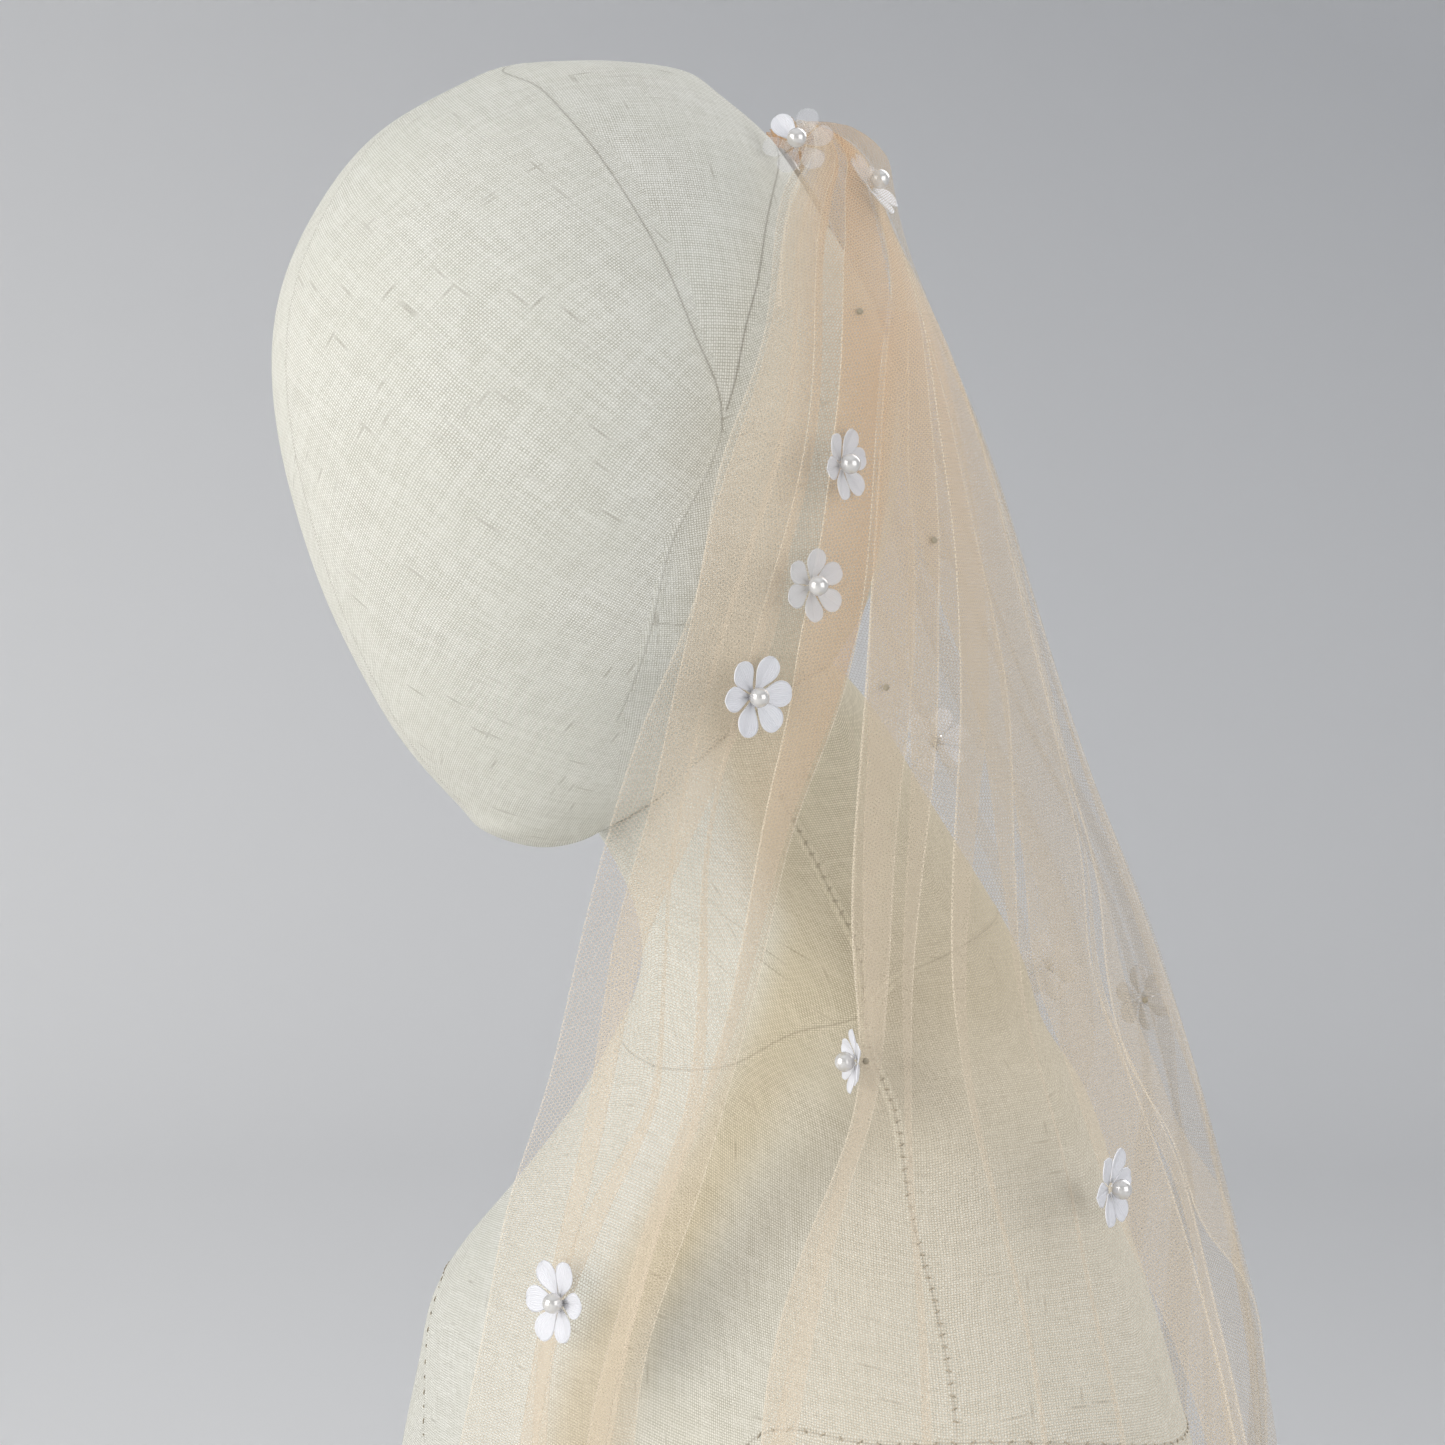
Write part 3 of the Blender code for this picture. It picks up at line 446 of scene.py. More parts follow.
def smooth_stack(rows, low_pole, high_pole, squareness, cut, sides, count):
    """Rings of a closed or open-ended form, smooth from row to row."""
    table = [list(row) for row in rows]
    first, last = 0, len(table) - 1
    if high_pole is not None:
        table.append([high_pole[0], high_pole[1], 0.0, 0.0])
        table += [[r[0], r[1], -r[2], -r[3]] for r in reversed(rows[-3:])]
        last += 1
    if low_pole is not None:
        table = [[r[0], r[1], -r[2], -r[3]] for r in reversed(rows[:3])] + [[low_pole[0], low_pole[1], 0.0, 0.0]] + table
        first, last = first + 3, last + 4
    table = np.array(table)
    size = (table[:, 2] + table[:, 3]) / 2.0
    knots = np.concatenate([[0.0], np.cumsum(np.hypot(np.diff(table[:, 0]), np.diff(size)))])
    ends = knots[first], knots[last]
    at = np.linspace(ends[0], ends[1], count)
    fine = natural_spline(knots, table, at)
    turn = 2.0 * math.pi * np.arange(sides) / sides
    sine, cosine = np.sin(turn), np.cos(turn)
    shape = lambda v: np.sign(v) * np.abs(v) ** (2.0 / squareness)
    x = np.abs(fine[:, 3])[:, None] * shape(sine)[None, :]
    y = fine[:, 1][:, None] + np.abs(fine[:, 2])[:, None] * shape(cosine)[None, :]
    z = np.repeat(fine[:, 0][:, None], sides, axis=1)
    return np.stack([np.clip(x, -cut, cut), y, z], -1)


def flat_place(points, centre, middle, twist):
    """Cloth coordinates in millimetres of points laid flat round a panel's middle, grain turned by twist."""
    way = points - np.asarray(centre)
    length = np.linalg.norm(way, axis=-1, keepdims=True)
    way = way / np.maximum(length, 1e-6)
    middle = np.asarray(middle, float) / np.linalg.norm(middle)
    side = np.cross((0.0, 0.0, 1.0), middle)
    side /= np.linalg.norm(side)
    angle = np.arccos(np.clip(way @ middle, -1.0, 1.0))
    flat = np.stack([way @ side, way @ np.cross(middle, side)], -1)
    flat /= np.maximum(np.linalg.norm(flat, axis=-1, keepdims=True), 1e-6)
    flat = flat * (angle * length[..., 0])[..., None]
    c, s = math.cos(math.radians(twist)), math.sin(math.radians(twist))
    return np.stack([flat[..., 0] * c - flat[..., 1] * s, flat[..., 0] * s + flat[..., 1] * c], -1)


# Seams as height and degrees from the back on the left side, the right side is their mirror
CROWN_SEAM = (
    (676.0, 176.0), (671.0, 157.0), (667.5, 135.0), (660.0, 118.0), (650.0, 108.0), (639.0, 101.5), (623.0, 96.0),
    (610.0, 93.5), (593.0, 91.0), (576.0, 88.0), (567.0, 88.0),
)
FACE_SEAM = ((567.0, 88.0), (555.0, 91.0), (536.5, 97.0), (510.0, 100.0), (484.0, 103.0))
BACK_SEAM = ((655.0, 24.0), (648.0, 40.0), (639.0, 54.0), (624.0, 67.5), (609.0, 75.5), (596.0, 81.0), (582.5, 84.5), (573.0, 87.0))
FRONT_SEAM = ((676.0, 180.0), (660.0, 180.0), (604.0, 180.0), (580.0, 180.0), (532.0, 180.0), (490.0, 180.0), (455.0, 180.0))
REAR_SEAM = ((655.0, 0.0), (620.0, 0.0), (580.0, 0.0), (540.0, 0.0), (500.0, 0.0))
NECK_SEAM = (
    (375.0, 180.0), (377.0, 165.0), (381.5, 151.0), (391.0, 131.5), (395.5, 113.5), (402.5, 104.0), (409.5, 87.0),
    (414.5, 67.0), (419.0, 40.0), (421.0, 15.0), (421.5, 0.0),
)
SHOULDER_SEAM = (
    (462.0, 100.5), (449.5, 101.5), (438.5, 103.0), (428.0, 105.0), (415.5, 106.5), (407.0, 109.0), (397.0, 111.5),
    (385.0, 113.5), (372.5, 114.5), (345.5, 114.0), (327.5, 111.5), (307.5, 110.5), (293.0, 110.5),
)
# the other shoulder's seam runs a little further back
FAR_SHOULDER_SEAM = tuple((h, d - 18.0 * float(np.clip((410.0 - h) / 60.0, 0.0, 1.0))) for h, d in SHOULDER_SEAM)
LOW_SEAM = (
    (222.0, 180.0), (225.0, 168.0), (236.0, 160.0), (255.0, 152.0), (272.0, 146.5), (287.0, 141.5), (290.5, 125.5), (292.0, 110.0), (291.0, 93.0), (284.5, 68.0),
    (282.0, 40.0), (281.0, 15.0), (281.0, 0.0),
)

HEAD_MIDDLE = (0.0, -76.0, 560.0)
HEAD_PANELS = (
    ((0.62, -1.0, 0.1), 38.0), ((-0.62, -1.0, 0.1), -38.0), ((1.0, 0.25, 0.75), 8.0), ((-1.0, 0.25, 0.75), -8.0),
    ((0.7, 1.0, -0.1), -20.0), ((-0.7, 1.0, -0.1), 20.0),
)


def normals_of(grid):
    across = np.roll(grid, -1, axis=1) - np.roll(grid, 1, axis=1)
    down = np.gradient(grid, axis=0)
    out = np.cross(across, down)
    # the grids turn clockwise seen from above, so their rows and columns cross inwards
    middle = grid.mean(axis=1, keepdims=True)
    flip = np.sign(((grid - middle) * out).sum(-1, keepdims=True).sum(axis=(0, 1)))
    return out * flip / np.maximum(np.linalg.norm(out, axis=-1, keepdims=True), 1e-9)


def on_form(grid, normals, height, degrees):
    """Points and outward directions at heights and degrees on one of the form's grids."""
    rows, columns = grid.shape[:2]
    r = np.clip(np.interp(height, grid[:, 0, 2], np.arange(rows)), 0, rows - 1.001)
    c = (np.asarray(degrees) / 360.0 % 1.0) * columns
    r0, c0 = np.floor(r).astype(int), np.floor(c).astype(int) % columns
    c1, fr, fc = (c0 + 1) % columns, (r - np.floor(r))[..., None], (c - np.floor(c))[..., None]
    found = []
    for values in (grid, normals):
        low = values[r0, c0] * (1 - fc) + values[r0, c1] * fc
        high = values[r0 + 1, c0] * (1 - fc) + values[r0 + 1, c1] * fc
        found.append(low * (1 - fr) + high * fr)
    return found[0], found[1] / np.linalg.norm(found[1], axis=-1, keepdims=True)


def seam_degrees(table, height):
    table = sorted(table)
    return np.interp(height, [row[0] for row in table], [row[1] for row in table])


def head_panel(points):
    """Panel number of points on the head: face, crown side or back, left then right."""
    turn = np.degrees(np.arctan2(points[..., 0], (points[..., 1] + 76.0) * 0.8))
    height = points[..., 2]
    front = np.abs(turn) > seam_degrees(CROWN_SEAM + FACE_SEAM[1:], height)
    back = (np.abs(turn) < seam_degrees(BACK_SEAM, height)) | ((height < 573.0) & ~front)
    kind = np.where(front, 0, np.where(back, 4, 2))
    return kind + (points[..., 0] < 0.0)


def corner_places(points, faces, panel_of, centre, panels):
    """Cloth coordinates per corner, each face laid flat on its own panel."""
    points = np.asarray(points, float)
    faces = np.asarray(faces)
    panel = panel_of(points[faces].mean(axis=1))
    found = np.zeros(faces.shape + (2,))
    for index, (middle, twist) in enumerate(panels):
        flat = flat_place(points, centre, middle, twist) + index * 311.0
        found = np.where((panel == index)[:, None, None], flat[faces], found)
    return found.reshape(-1, 2)


def veil_shade(points):
    """Painted shade of the net on the linen: how much of the light reaches the linen through the net, by height and
    place round the form, as a share of tint mixed into its colour.
    """
    points = np.asarray(points, float)
    rows = np.array(NET_ROWS)
    order = np.argsort(rows[1:, 1])
    height = points[..., 2]
    front = np.interp(height, rows[1:, 1][order], rows[1:, FRONT_EDGE][order])
    far = np.interp(height, rows[1:, 1][order], rows[1:, FAR_EDGE][order])
    centre = np.interp(height, (300.0, 420.0, 480.0, 560.0), (10.0, 0.0, -40.0, -60.0))
    turn = np.degrees(np.arctan2(points[..., 0], points[..., 1] - centre))
    inside = np.clip((front - turn + 6.0) / 22.0, 0.0, 1.0) * np.clip((turn - far + 10.0) / 20.0, 0.0, 1.0)
    depth = np.interp(height, (0.0, 200.0, 300.0, 350.0, 400.0, 480.0, 540.0, 620.0, 660.0), (0.3, 0.3, 0.32, 0.5, 0.95, 0.85, 0.34, 0.24, 0.05))
    # under the front fall the light comes through its folds, so there is more painted shade there
    rear = np.interp(height, rows[1:, 1][order], rows[1:, FRONT_END][order])
    under = np.clip((front - turn + 2.0) / 10.0, 0.0, 1.0) * np.clip((turn - rear + 2.0) / 10.0, 0.0, 1.0)
    folds = np.interp(height, (0.0, 150.0, 330.0, 400.0), (0.2, 0.62, 0.62, 0.0))
    return inside * inside * (3.0 - 2.0 * inside) * depth + under * folds


def finish_form(piece):
    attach(piece, "root")


HEAD_SIDES, HEAD_COUNT = 240, 190
head_grid = smooth_stack(HEAD_ROWS, HEAD_POLES[0], HEAD_POLES[1], 2.0, 1000.0, HEAD_SIDES, HEAD_COUNT)
head_normals = normals_of(head_grid)
faces = grid_faces(HEAD_COUNT, HEAD_SIDES, True)
uv = corner_places(head_grid.reshape(-1, 3), faces, head_panel, HEAD_MIDDLE, HEAD_PANELS)
head = build("form_head", head_grid.reshape(-1, 3), faces, LINEN, uv, {"veil_shadow": veil_shade(head_grid)})

BODY_SIDES, BODY_COUNT = 240, 200
grid = smooth_stack(BODY_ROWS, None, BODY_TOP, BODY_SQUARENESS, ARM_CUT, BODY_SIDES, BODY_COUNT)
body_grid, body_normals = grid, normals_of(grid)
step_round = np.linalg.norm(np.diff(grid, axis=1), axis=2)
step_down = np.linalg.norm(np.diff(grid, axis=0), axis=2)
around = np.concatenate([np.zeros((len(grid), 1)), np.cumsum(step_round, axis=1)], axis=1)
down = np.concatenate([np.zeros((1, BODY_SIDES)), np.cumsum(step_down, axis=0)], axis=0)
uv = np.stack([around - around[:, BODY_SIDES // 3][:, None], down], -1)
base = np.array([[0.0, BODY_ROWS[0][1], BODY_ROWS[0][0]]])
points = np.concatenate([grid.reshape(-1, 3), base])
faces = grid_faces(BODY_COUNT, BODY_SIDES, True)
faces += [((k + 1) % BODY_SIDES, k, len(points) - 1) for k in range(BODY_SIDES)]
body_uv = np.concatenate([uv.reshape(-1, 2), [[0.0, 0.0]]])
# painted shade that the front fall and two flowers cast on the linen, as height and degrees on the body; the seam mark
# darkens the linen's colour with it
FALL_SHADE = np.array((
    (262.0, 164.0), (282.5, 162.5), (303.0, 158.0), (317.5, 153.0), (340.5, 142.5), (360.0, 130.5), (377.5, 112.5),
    (396.0, 102.0), (412.0, 104.0), (430.0, 108.0), (446.0, 110.0),
))
FLOWER_SHADE = np.array(((382.0, 106.0), (346.0, 74.5)))
line = natural_spline(np.arange(len(FALL_SHADE)), FALL_SHADE, np.linspace(0.0, len(FALL_SHADE) - 1.0, 60))
line, _ = on_form(body_grid, body_normals, line[:, 0], line[:, 1])
spots, _ = on_form(body_grid, body_normals, FLOWER_SHADE[:, 0], FLOWER_SHADE[:, 1])
strong = 0.24 * np.sin(np.linspace(0.5, math.pi - 0.4, 60))
shaded = (strong * np.exp(-(np.linalg.norm(points[:, None] - line, axis=-1) / 15.0) ** 2)).max(axis=1)
flower_shadows = (0.34 * np.exp(-(np.linalg.norm(points[:, None] - spots, axis=-1) / 5.5) ** 2)).max(axis=1)
# on the body the seam mark holds only this painted shadow
marks = {"veil_shadow": veil_shade(points), "seam": np.maximum(shaded, flower_shadows)}
body = build("form_body", points, faces, LINEN, body_uv, marks)
for piece in (head, body):
    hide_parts("dress_form")
    finish_form(piece)

# Seams: a narrow channel between two soft lips, in the same linen ---------------------------------

# Offset from the seam, height and darkness across a seam, in millimetres; the darkness is the seam's line, partly
# painted shade in its channel
SEAM_SECTION = ((-2.0, -0.10, 0.0), (-1.2, 0.10, 0.02), (-0.5, 0.16, 0.10), (-0.22, 0.08, 0.6), (0.0, 0.03, 1.0),
                (0.22, 0.08, 0.6), (0.5, 0.16, 0.10), (1.2, 0.10, 0.02), (2.0, -0.10, 0.0))


def seam_line(table, mirror, grid, normals, step):
    """Evenly spaced points of a seam on a grid, with outward directions and directions along it."""
    table = np.array(table, float) * (1.0, -1.0 if mirror else 1.0)
    first, _ = on_form(grid, normals, table[:, 0], table[:, 1])
    knots = np.concatenate([[0.0], np.cumsum(np.linalg.norm(np.diff(first, axis=0), axis=1))])
    at = np.linspace(0.0, knots[-1], max(int(knots[-1] / step), 4))
    fine = natural_spline(knots, table, at)
    point, out = on_form(grid, normals, fine[:, 0], fine[:, 1])
    along = np.gradient(point, axis=0)
    along /= np.maximum(np.linalg.norm(along, axis=-1, keepdims=True), 1e-9)
    return point, out, along


def seam_strip(name, lines, uv_panels):
    points, faces, marks = [], [], []
    section = np.array(SEAM_SECTION)
    for (point, out, along), dark in lines:
        side = np.cross(out, along)
        side /= np.linalg.norm(side, axis=-1, keepdims=True)
        pucker = 1.0 + 0.35 * np.sin(np.arange(len(point)) * 1.9)[:, None, None]
        rise = section[None, :, 1, None] * pucker
        strip = point[:, None] + side[:, None] * section[None, :, 0, None] + out[:, None] * rise
        faces += grid_faces(len(point), len(section), False, len(points))
        points += strip.reshape(-1, 3).tolist()
        marks += (np.repeat(section[None, :, 2], len(point), axis=0) * dark).ravel().tolist()
    uv = corner_places(points, faces, uv_panels[0], uv_panels[1], uv_panels[2])
    made = build(name, points, faces, LINEN, uv, {"seam": marks, "veil_shadow": veil_shade(points)})
    finish_form(made)
    return made


HEAD_CLOTH = (head_panel, HEAD_MIDDLE, HEAD_PANELS)
BODY_PANELS = (((1.0, -0.5, 0.0), 0.0), ((-1.0, -0.5, 0.0), 0.0), ((0.5, 1.0, 0.0), 0.0), ((-0.5, 1.0, 0.0), 0.0))
BODY_CLOTH = (lambda p: (p[..., 1] > 20.0) * 2 + (p[..., 0] < 0.0), (0.0, 0.0, 330.0), BODY_PANELS)
# seams and the darkness of their lines, here and on the body, partly painted shade in their channels
HEAD_SEAMS = ((CROWN_SEAM, 0.42), (BACK_SEAM, 0.5), (FACE_SEAM, 0.2))
head_lines = [(seam_line(t, m, head_grid, head_normals, 1.3), d) for t, d in HEAD_SEAMS for m in (False, True)]
head_lines += [(seam_line(t, False, head_grid, head_normals, 1.3), 0.2) for t in (FRONT_SEAM, REAR_SEAM)]
seam_strip("seams_head", head_lines, HEAD_CLOTH)
neck_lines = [seam_line(NECK_SEAM, m, body_grid, body_normals, 1.3) for m in (False, True)]
shoulder_lines = [seam_line(table, m, body_grid, body_normals, 1.3) for table, m in ((SHOULDER_SEAM, False), (FAR_SHOULDER_SEAM, True))]
low_lines = [seam_line(LOW_SEAM, m, body_grid, body_normals, 1.3) for m in (False, True)]
body_lines = [(line, 0.3) for line in neck_lines] + [(line, 0.3) for line in shoulder_lines + low_lines]
seam_strip("seams_body", body_lines, BODY_CLOTH)


def tube(path_points, out, radius, sides=6, closed=False):
    """Round thread along a row of points, out gives a direction that isn't along it."""
    path_points = np.asarray(path_points, float)
    along = np.gradient(path_points, axis=0)
    if closed:
        along = np.roll(path_points, -1, axis=0) - np.roll(path_points, 1, axis=0)
    along /= np.maximum(np.linalg.norm(along, axis=-1, keepdims=True), 1e-9)
    side = np.cross(out, along)
    side /= np.maximum(np.linalg.norm(side, axis=-1, keepdims=True), 1e-9)
    lift = np.cross(along, side)
    turn = 2.0 * math.pi * np.arange(sides) / sides
    ring = side[:, None] * np.cos(turn)[None, :, None] + lift[:, None] * np.sin(turn)[None, :, None]
    return (path_points[:, None] + ring * np.reshape(radius, (-1, 1, 1))).reshape(-1, 3)


# hand stitches across the shoulder seams and along the low seam
points, faces = [], []
for lines, lean, every in ((shoulder_lines, 0.35, 3), (low_lines, 0.75, 4)):
    for point, out, along in lines:
        side = np.cross(out, along)
        for k in range(2, len(point) - 2, every):
            swing = lean if (k // every) % 2 else -lean
            way = side[k] * (1.0 - abs(swing) * 0.5) + along[k] * swing
            t = np.linspace(-1.0, 1.0, 7)[:, None]
            stitch = point[k] + way * 1.05 * t + out[k] * (0.34 - 0.42 * t ** 4)
            ring = tube(stitch, out[k], 0.2, 5)
            faces += grid_faces(7, 5, True, len(points))
            points += ring.tolist()
stitches = build("hand_stitches", points, faces, THREAD)
finish_form(stitches)

# cord of the seam where the head meets the neck: there the neck's grid goes into the head
inside = np.zeros(body_grid.shape[:2], bool)
table = np.array([(HEAD_POLES[0][0], HEAD_POLES[0][1], 0.01, 0.01)] + list(HEAD_ROWS) + [(HEAD_POLES[1][0], HEAD_POLES[1][1], 0.01, 0.01)])
z = body_grid[..., 2]
size = [np.interp(z, table[:, 0], table[:, k]) for k in (1, 2, 3)]
reach = np.hypot((body_grid[..., 1] - size[0]) / size[1], body_grid[..., 0] / size[2])
reach = np.where(z > table[0, 0], reach, 9.0)
joint = []
for column in range(BODY_SIDES):
    row = int(np.argmax(reach[:, column] < 1.0))
    if row > 0:
        before, after = reach[row - 1, column], reach[row, column]
        share = (before - 1.0) / (before - after) if before < 8.0 else 0.5
        joint.append(body_grid[row - 1, column] * (1 - share) + body_grid[row, column] * share)
joint = np.array(joint)
for _ in range(3):
    joint = (np.roll(joint, 1, axis=0) + joint * 2.0 + np.roll(joint, -1, axis=0)) / 4.0
ring = tube(joint, np.array([0.0, 0.0, 1.0]), 0.75, 8, True)
cord_faces = grid_faces(len(joint) + 1, 8, True)
cord_faces = [[v % len(ring) for v in face] for face in cord_faces]
# the cord's darkness is partly the seam's line, partly painted shade in the crease under the jaw
cord_marks = np.full(len(ring), 0.4)
cord = build("seam_jaw", ring, cord_faces, LINEN, ring[:, :2] * 0.9, {"seam": cord_marks, "veil_shadow": veil_shade(ring)})
finish_form(cord)

# Net -------------------------------------------------------------------------------------------


def guide(degrees, place):
    """Points of the guide surface for arrays of angles, at rows given by place from 0 to 1."""
    rows = np.array(NET_ROWS)
    rows[0, HEIGHT_SIDE], rows[1, HEIGHT_BACK], rows[1, HEIGHT_SIDE] = TOP_HEIGHTS
    knots = np.linspace(0.0, 1.0, len(rows))
    fine = natural_spline(knots, rows, place)
    turn = np.radians(degrees)
    sine, cosine = np.sin(turn), np.cos(turn)
    cell = lambda k: fine[:, k][:, None]
    # behind and in front blend over a few degrees, so that the surface has no crease at the sides
    blend = 1.0 / (1.0 + np.exp(-cosine / 0.12))
    depth = cell(FRONT) + (cell(BACK) - cell(FRONT)) * blend
    height = cell(HEIGHT_BACK) + (cell(HEIGHT_SIDE) - cell(HEIGHT_BACK)) * sine ** 2
    far = np.clip((-5.0 - np.asarray(degrees)) / 35.0, 0.0, 1.0)
    top = np.interp(place * LAST_ROW, (0.0, 2.0, 4.0), (1.0, 1.0, 0.0))[:, None]
    height = height - FAR_DROP * far * far * (3.0 - 2.0 * far) * top
    point = np.stack([cell(HALF) * sine, cell(CENTRE_Y) + depth * cosine, height], -1)
    out = np.stack([sine / cell(HALF), cosine / depth, np.zeros_like(sine)], -1)
    out /= np.linalg.norm(out, axis=-1, keepdims=True)
    along = np.stack([out[..., 1], -out[..., 0], np.zeros_like(sine)], -1)
    return point, out, along, fine


def path(table, place):
    """Smooth value of a short table of (row, value) at rows given by place."""
    table = np.array(table, float)
    knots, values = table[:, 0], table[:, 1]
    slope = np.gradient(values, knots)
    k = np.clip(np.searchsorted(knots, place) - 1, 0, len(knots) - 2)
    h = knots[k + 1] - knots[k]
    t = np.clip((place - knots[k]) / h, 0.0, 1.0)
    return (
        (2 * t ** 3 - 3 * t ** 2 + 1) * values[k] + (t ** 3 - 2 * t ** 2 + t) * h * slope[k]
        + (3 * t ** 2 - 2 * t ** 3) * values[k + 1] + (t ** 3 - t ** 2) * h * slope[k + 1]
    )


PANEL_COLUMNS = 26
TURN = np.radians(np.linspace(90.0, -90.0, 6))
FAR_DROP = 8.0
TOP_HEIGHTS = (653.0, 655.0, 660.5)
LAST_ROW = len(NET_ROWS) - 1
EDGE_LINE, HIDDEN_LINE = 0.24, 0.04   # extra cover where the net turns back on itself


def build_net(name, pleats, first, last, columns_shift, rows, seed, rolled):
    """One stretch of the net: flat panels that turn under at each pleat, as a single sheet."""
    place = np.linspace(0.0, 1.0, rows)
    table = natural_spline(np.linspace(0.0, 1.0, len(NET_ROWS)), np.array(NET_ROWS), place)
    at = place * LAST_ROW
    if first == BACK_EDGE and columns_shift:
        start = table[:, BACK_EDGE] + (table[:, FAR_EDGE] - table[:, BACK_EDGE]) * MEET
        end = table[:, FAR_EDGE]
    elif first == BACK_EDGE:
        start = table[:, BACK_EDGE]
        end = table[:, BACK_EDGE] + (table[:, FAR_EDGE] - table[:, BACK_EDGE]) * MEET
    else:
        start, end = table[:, first], table[:, last]
    gap = np.interp(at, (0, 3, 7, 12, 17), (0.16, 0.32, 0.6, 0.95, 1.3))
    # millimetres to a degree along each row
    mid = (start + end)[:, None] / 2.0
    a, _, _, _ = guide(mid, place)
    b, _, _, _ = guide(mid + 0.5, place)
    per_degree = np.linalg.norm(b - a, axis=-1)[:, 0] / 0.5
    radius = gap / 2.0 / per_degree
    draw = np.random.default_rng(seed)
    degrees, offset, dense, origin, panel_of = [], [], [], [], []

    def add(values, level, line, panel):
        degrees.append(values)
        offset.append(level + np.zeros(rows))
        dense.append(line + np.zeros(rows))
        panel_of.append(panel)

    def panel_run(begin, stop, low, high, panel):
        swell = draw.uniform(-0.5, 0.9)
        for k in range(1, PANEL_COLUMNS):
            t = k / PANEL_COLUMNS
            ease = t * t * (3.0 - 2.0 * t)
            level = low + (high - low) * ease + gap * swell * math.sin(math.pi * t) * 1.2
            add(begin + (stop - begin) * t, level, 0.0, panel)
        origin.append(len(degrees) - PANEL_COLUMNS // 2)

    here, level = start, 0.0 * gap
    if rolled:
        # the edge is turned under once, so the sheet starts inside and comes out round its edge
        width = rolled(at)
        for k in range(10):
            t = k / 10.0
            add(start - width * (1.0 - t), -1.6 * gap, HIDDEN_LINE if k == 0 else 0.0, 0)
        for turn in TURN[::-1]:
            add(start + radius * 1.6 * np.cos(turn), -0.8 * gap + 0.8 * gap * math.sin(turn), EDGE_LINE * math.cos(turn), 0)
        origin.append(5)
    else:
        add(start, level, EDGE_LINE, 0)
        add(start - 0.25 / per_degree, level, EDGE_LINE, 0)
        origin.append(1)
    for index, (side, edge, tuck) in enumerate(pleats):
        lines = noise_lines(seed * 31 + index, 3, 0.5, 1.6)
        visible = path(edge, at) + wander(lines, at) * np.interp(at, (0, 4, 12, 17), (0.0, 0.25, 0.5, 2.2))
        width = np.maximum(path(tuck, at), 0.15)
        if edge[-1][1] > 85.0:
            # over the shoulder the tucks are narrow
            width = width * np.interp(at, (8.0, 11.0), (1.0, 0.5))
        spread = np.clip(width / 2.0, 0.15, 1.0)
        step = gap * spread
        panel = index
        if side > 0:
            panel_run(here, visible, level, step, panel)
            for turn in TURN:
                add(visible - radius * spread * np.cos(turn), step / 2.0 + step / 2.0 * math.sin(turn), EDGE_LINE * math.cos(turn), panel)
            for t in (0.2, 0.4, 0.6, 0.8):
                add(visible + width * t, 0.0 * gap, 0.0, panel if t < 0.5 else panel + 1)
            for turn in TURN:
                add(visible + width + radius * spread * np.cos(turn), -step / 2.0 + step / 2.0 * math.sin(turn), HIDDEN_LINE * math.cos(turn), panel + 1)
            here, level = visible + width, -step
        else:
            panel_run(here, visible - width, level, -step, panel)
            for turn in TURN[::-1]:
                add(visible - width - radius * spread * np.cos(turn), -step / 2.0 + step / 2.0 * math.sin(turn), HIDDEN_LINE * math.cos(turn), panel)
            for t in (0.2, 0.4, 0.6, 0.8):
                add(visible - width * (1.0 - t), 0.0 * gap, 0.0, panel if t < 0.5 else panel + 1)
            for turn in TURN[::-1]:
                add(visible + radius * spread * np.cos(turn), step / 2.0 + step / 2.0 * math.sin(turn), EDGE_LINE * math.cos(turn), panel + 1)
            here, level = visible, step
    panel_run(here, end, level, 0.0 * gap, len(pleats))
    edge_line = 0.0 if (first == BACK_EDGE and not columns_shift) else EDGE_LINE
    add(end + 0.25 / per_degree, 0.0, edge_line, len(pleats))
    add(end, 0.0, edge_line, len(pleats))
    degrees, offset, dense = np.array(degrees).T, np.array(offset).T, np.array(dense).T
    point, out, along, fine = guide(degrees, place)
    # the net's soft swells, strongest at the hem, and fine gathers that run out below the comb
    share = (degrees - end[:, None]) / (start - end)[:, None]
    width_mm = (np.abs(start - end) * per_degree)[-1]
    swells = noise_lines(seed, 4, width_mm / 26.0, width_mm / 11.0)
    swell = wander(swells, share * 2.0 + 0.35 * np.sin(1.7 * place[:, None] + seed))
    gathers = noise_lines(seed + 50, 5, 90.0, 240.0)
    fine_gather = wander(gathers, share + 0.004 * np.sin(7.0 * place[:, None]))
    gather_depth = np.interp(at, (0, 1, 2.5, 4.5, 7), (0.35, 0.6, 0.55, 0.25, 0.0))[:, None]
    depth = fine[:, DEPTH][:, None] * np.interp(at, (0, 3, 8, 17), (0.35, 0.4, 0.55, 0.8))[:, None]
    total = offset + swell * depth + fine_gather * gather_depth
    point = point + out * total[..., None]
    # the lower edge isn't quite level
    hem = wander(noise_lines(seed + 90, 3, 3.0, 9.0), share * 2.0)
    point[..., 2] += np.clip(place[:, None] - 0.85, 0.0, 1.0) / 0.15 * hem * 2.5
    step_across = np.linalg.norm(np.diff(point, axis=1), axis=2)
    width = np.concatenate([np.zeros((rows, 1)), np.cumsum(step_across, axis=1)], axis=1)
    panel_of = np.minimum(np.array(panel_of), len(origin) - 1)
    base = width[:, np.array(origin)][:, panel_of]
    long = np.concatenate([[0.0], np.cumsum(np.linalg.norm(np.diff(point, axis=0), axis=2).mean(axis=1))])
    uv = np.stack([width - base + panel_of[None, :] * 37.0, np.repeat(long[:, None], point.shape[1], axis=1)], -1)
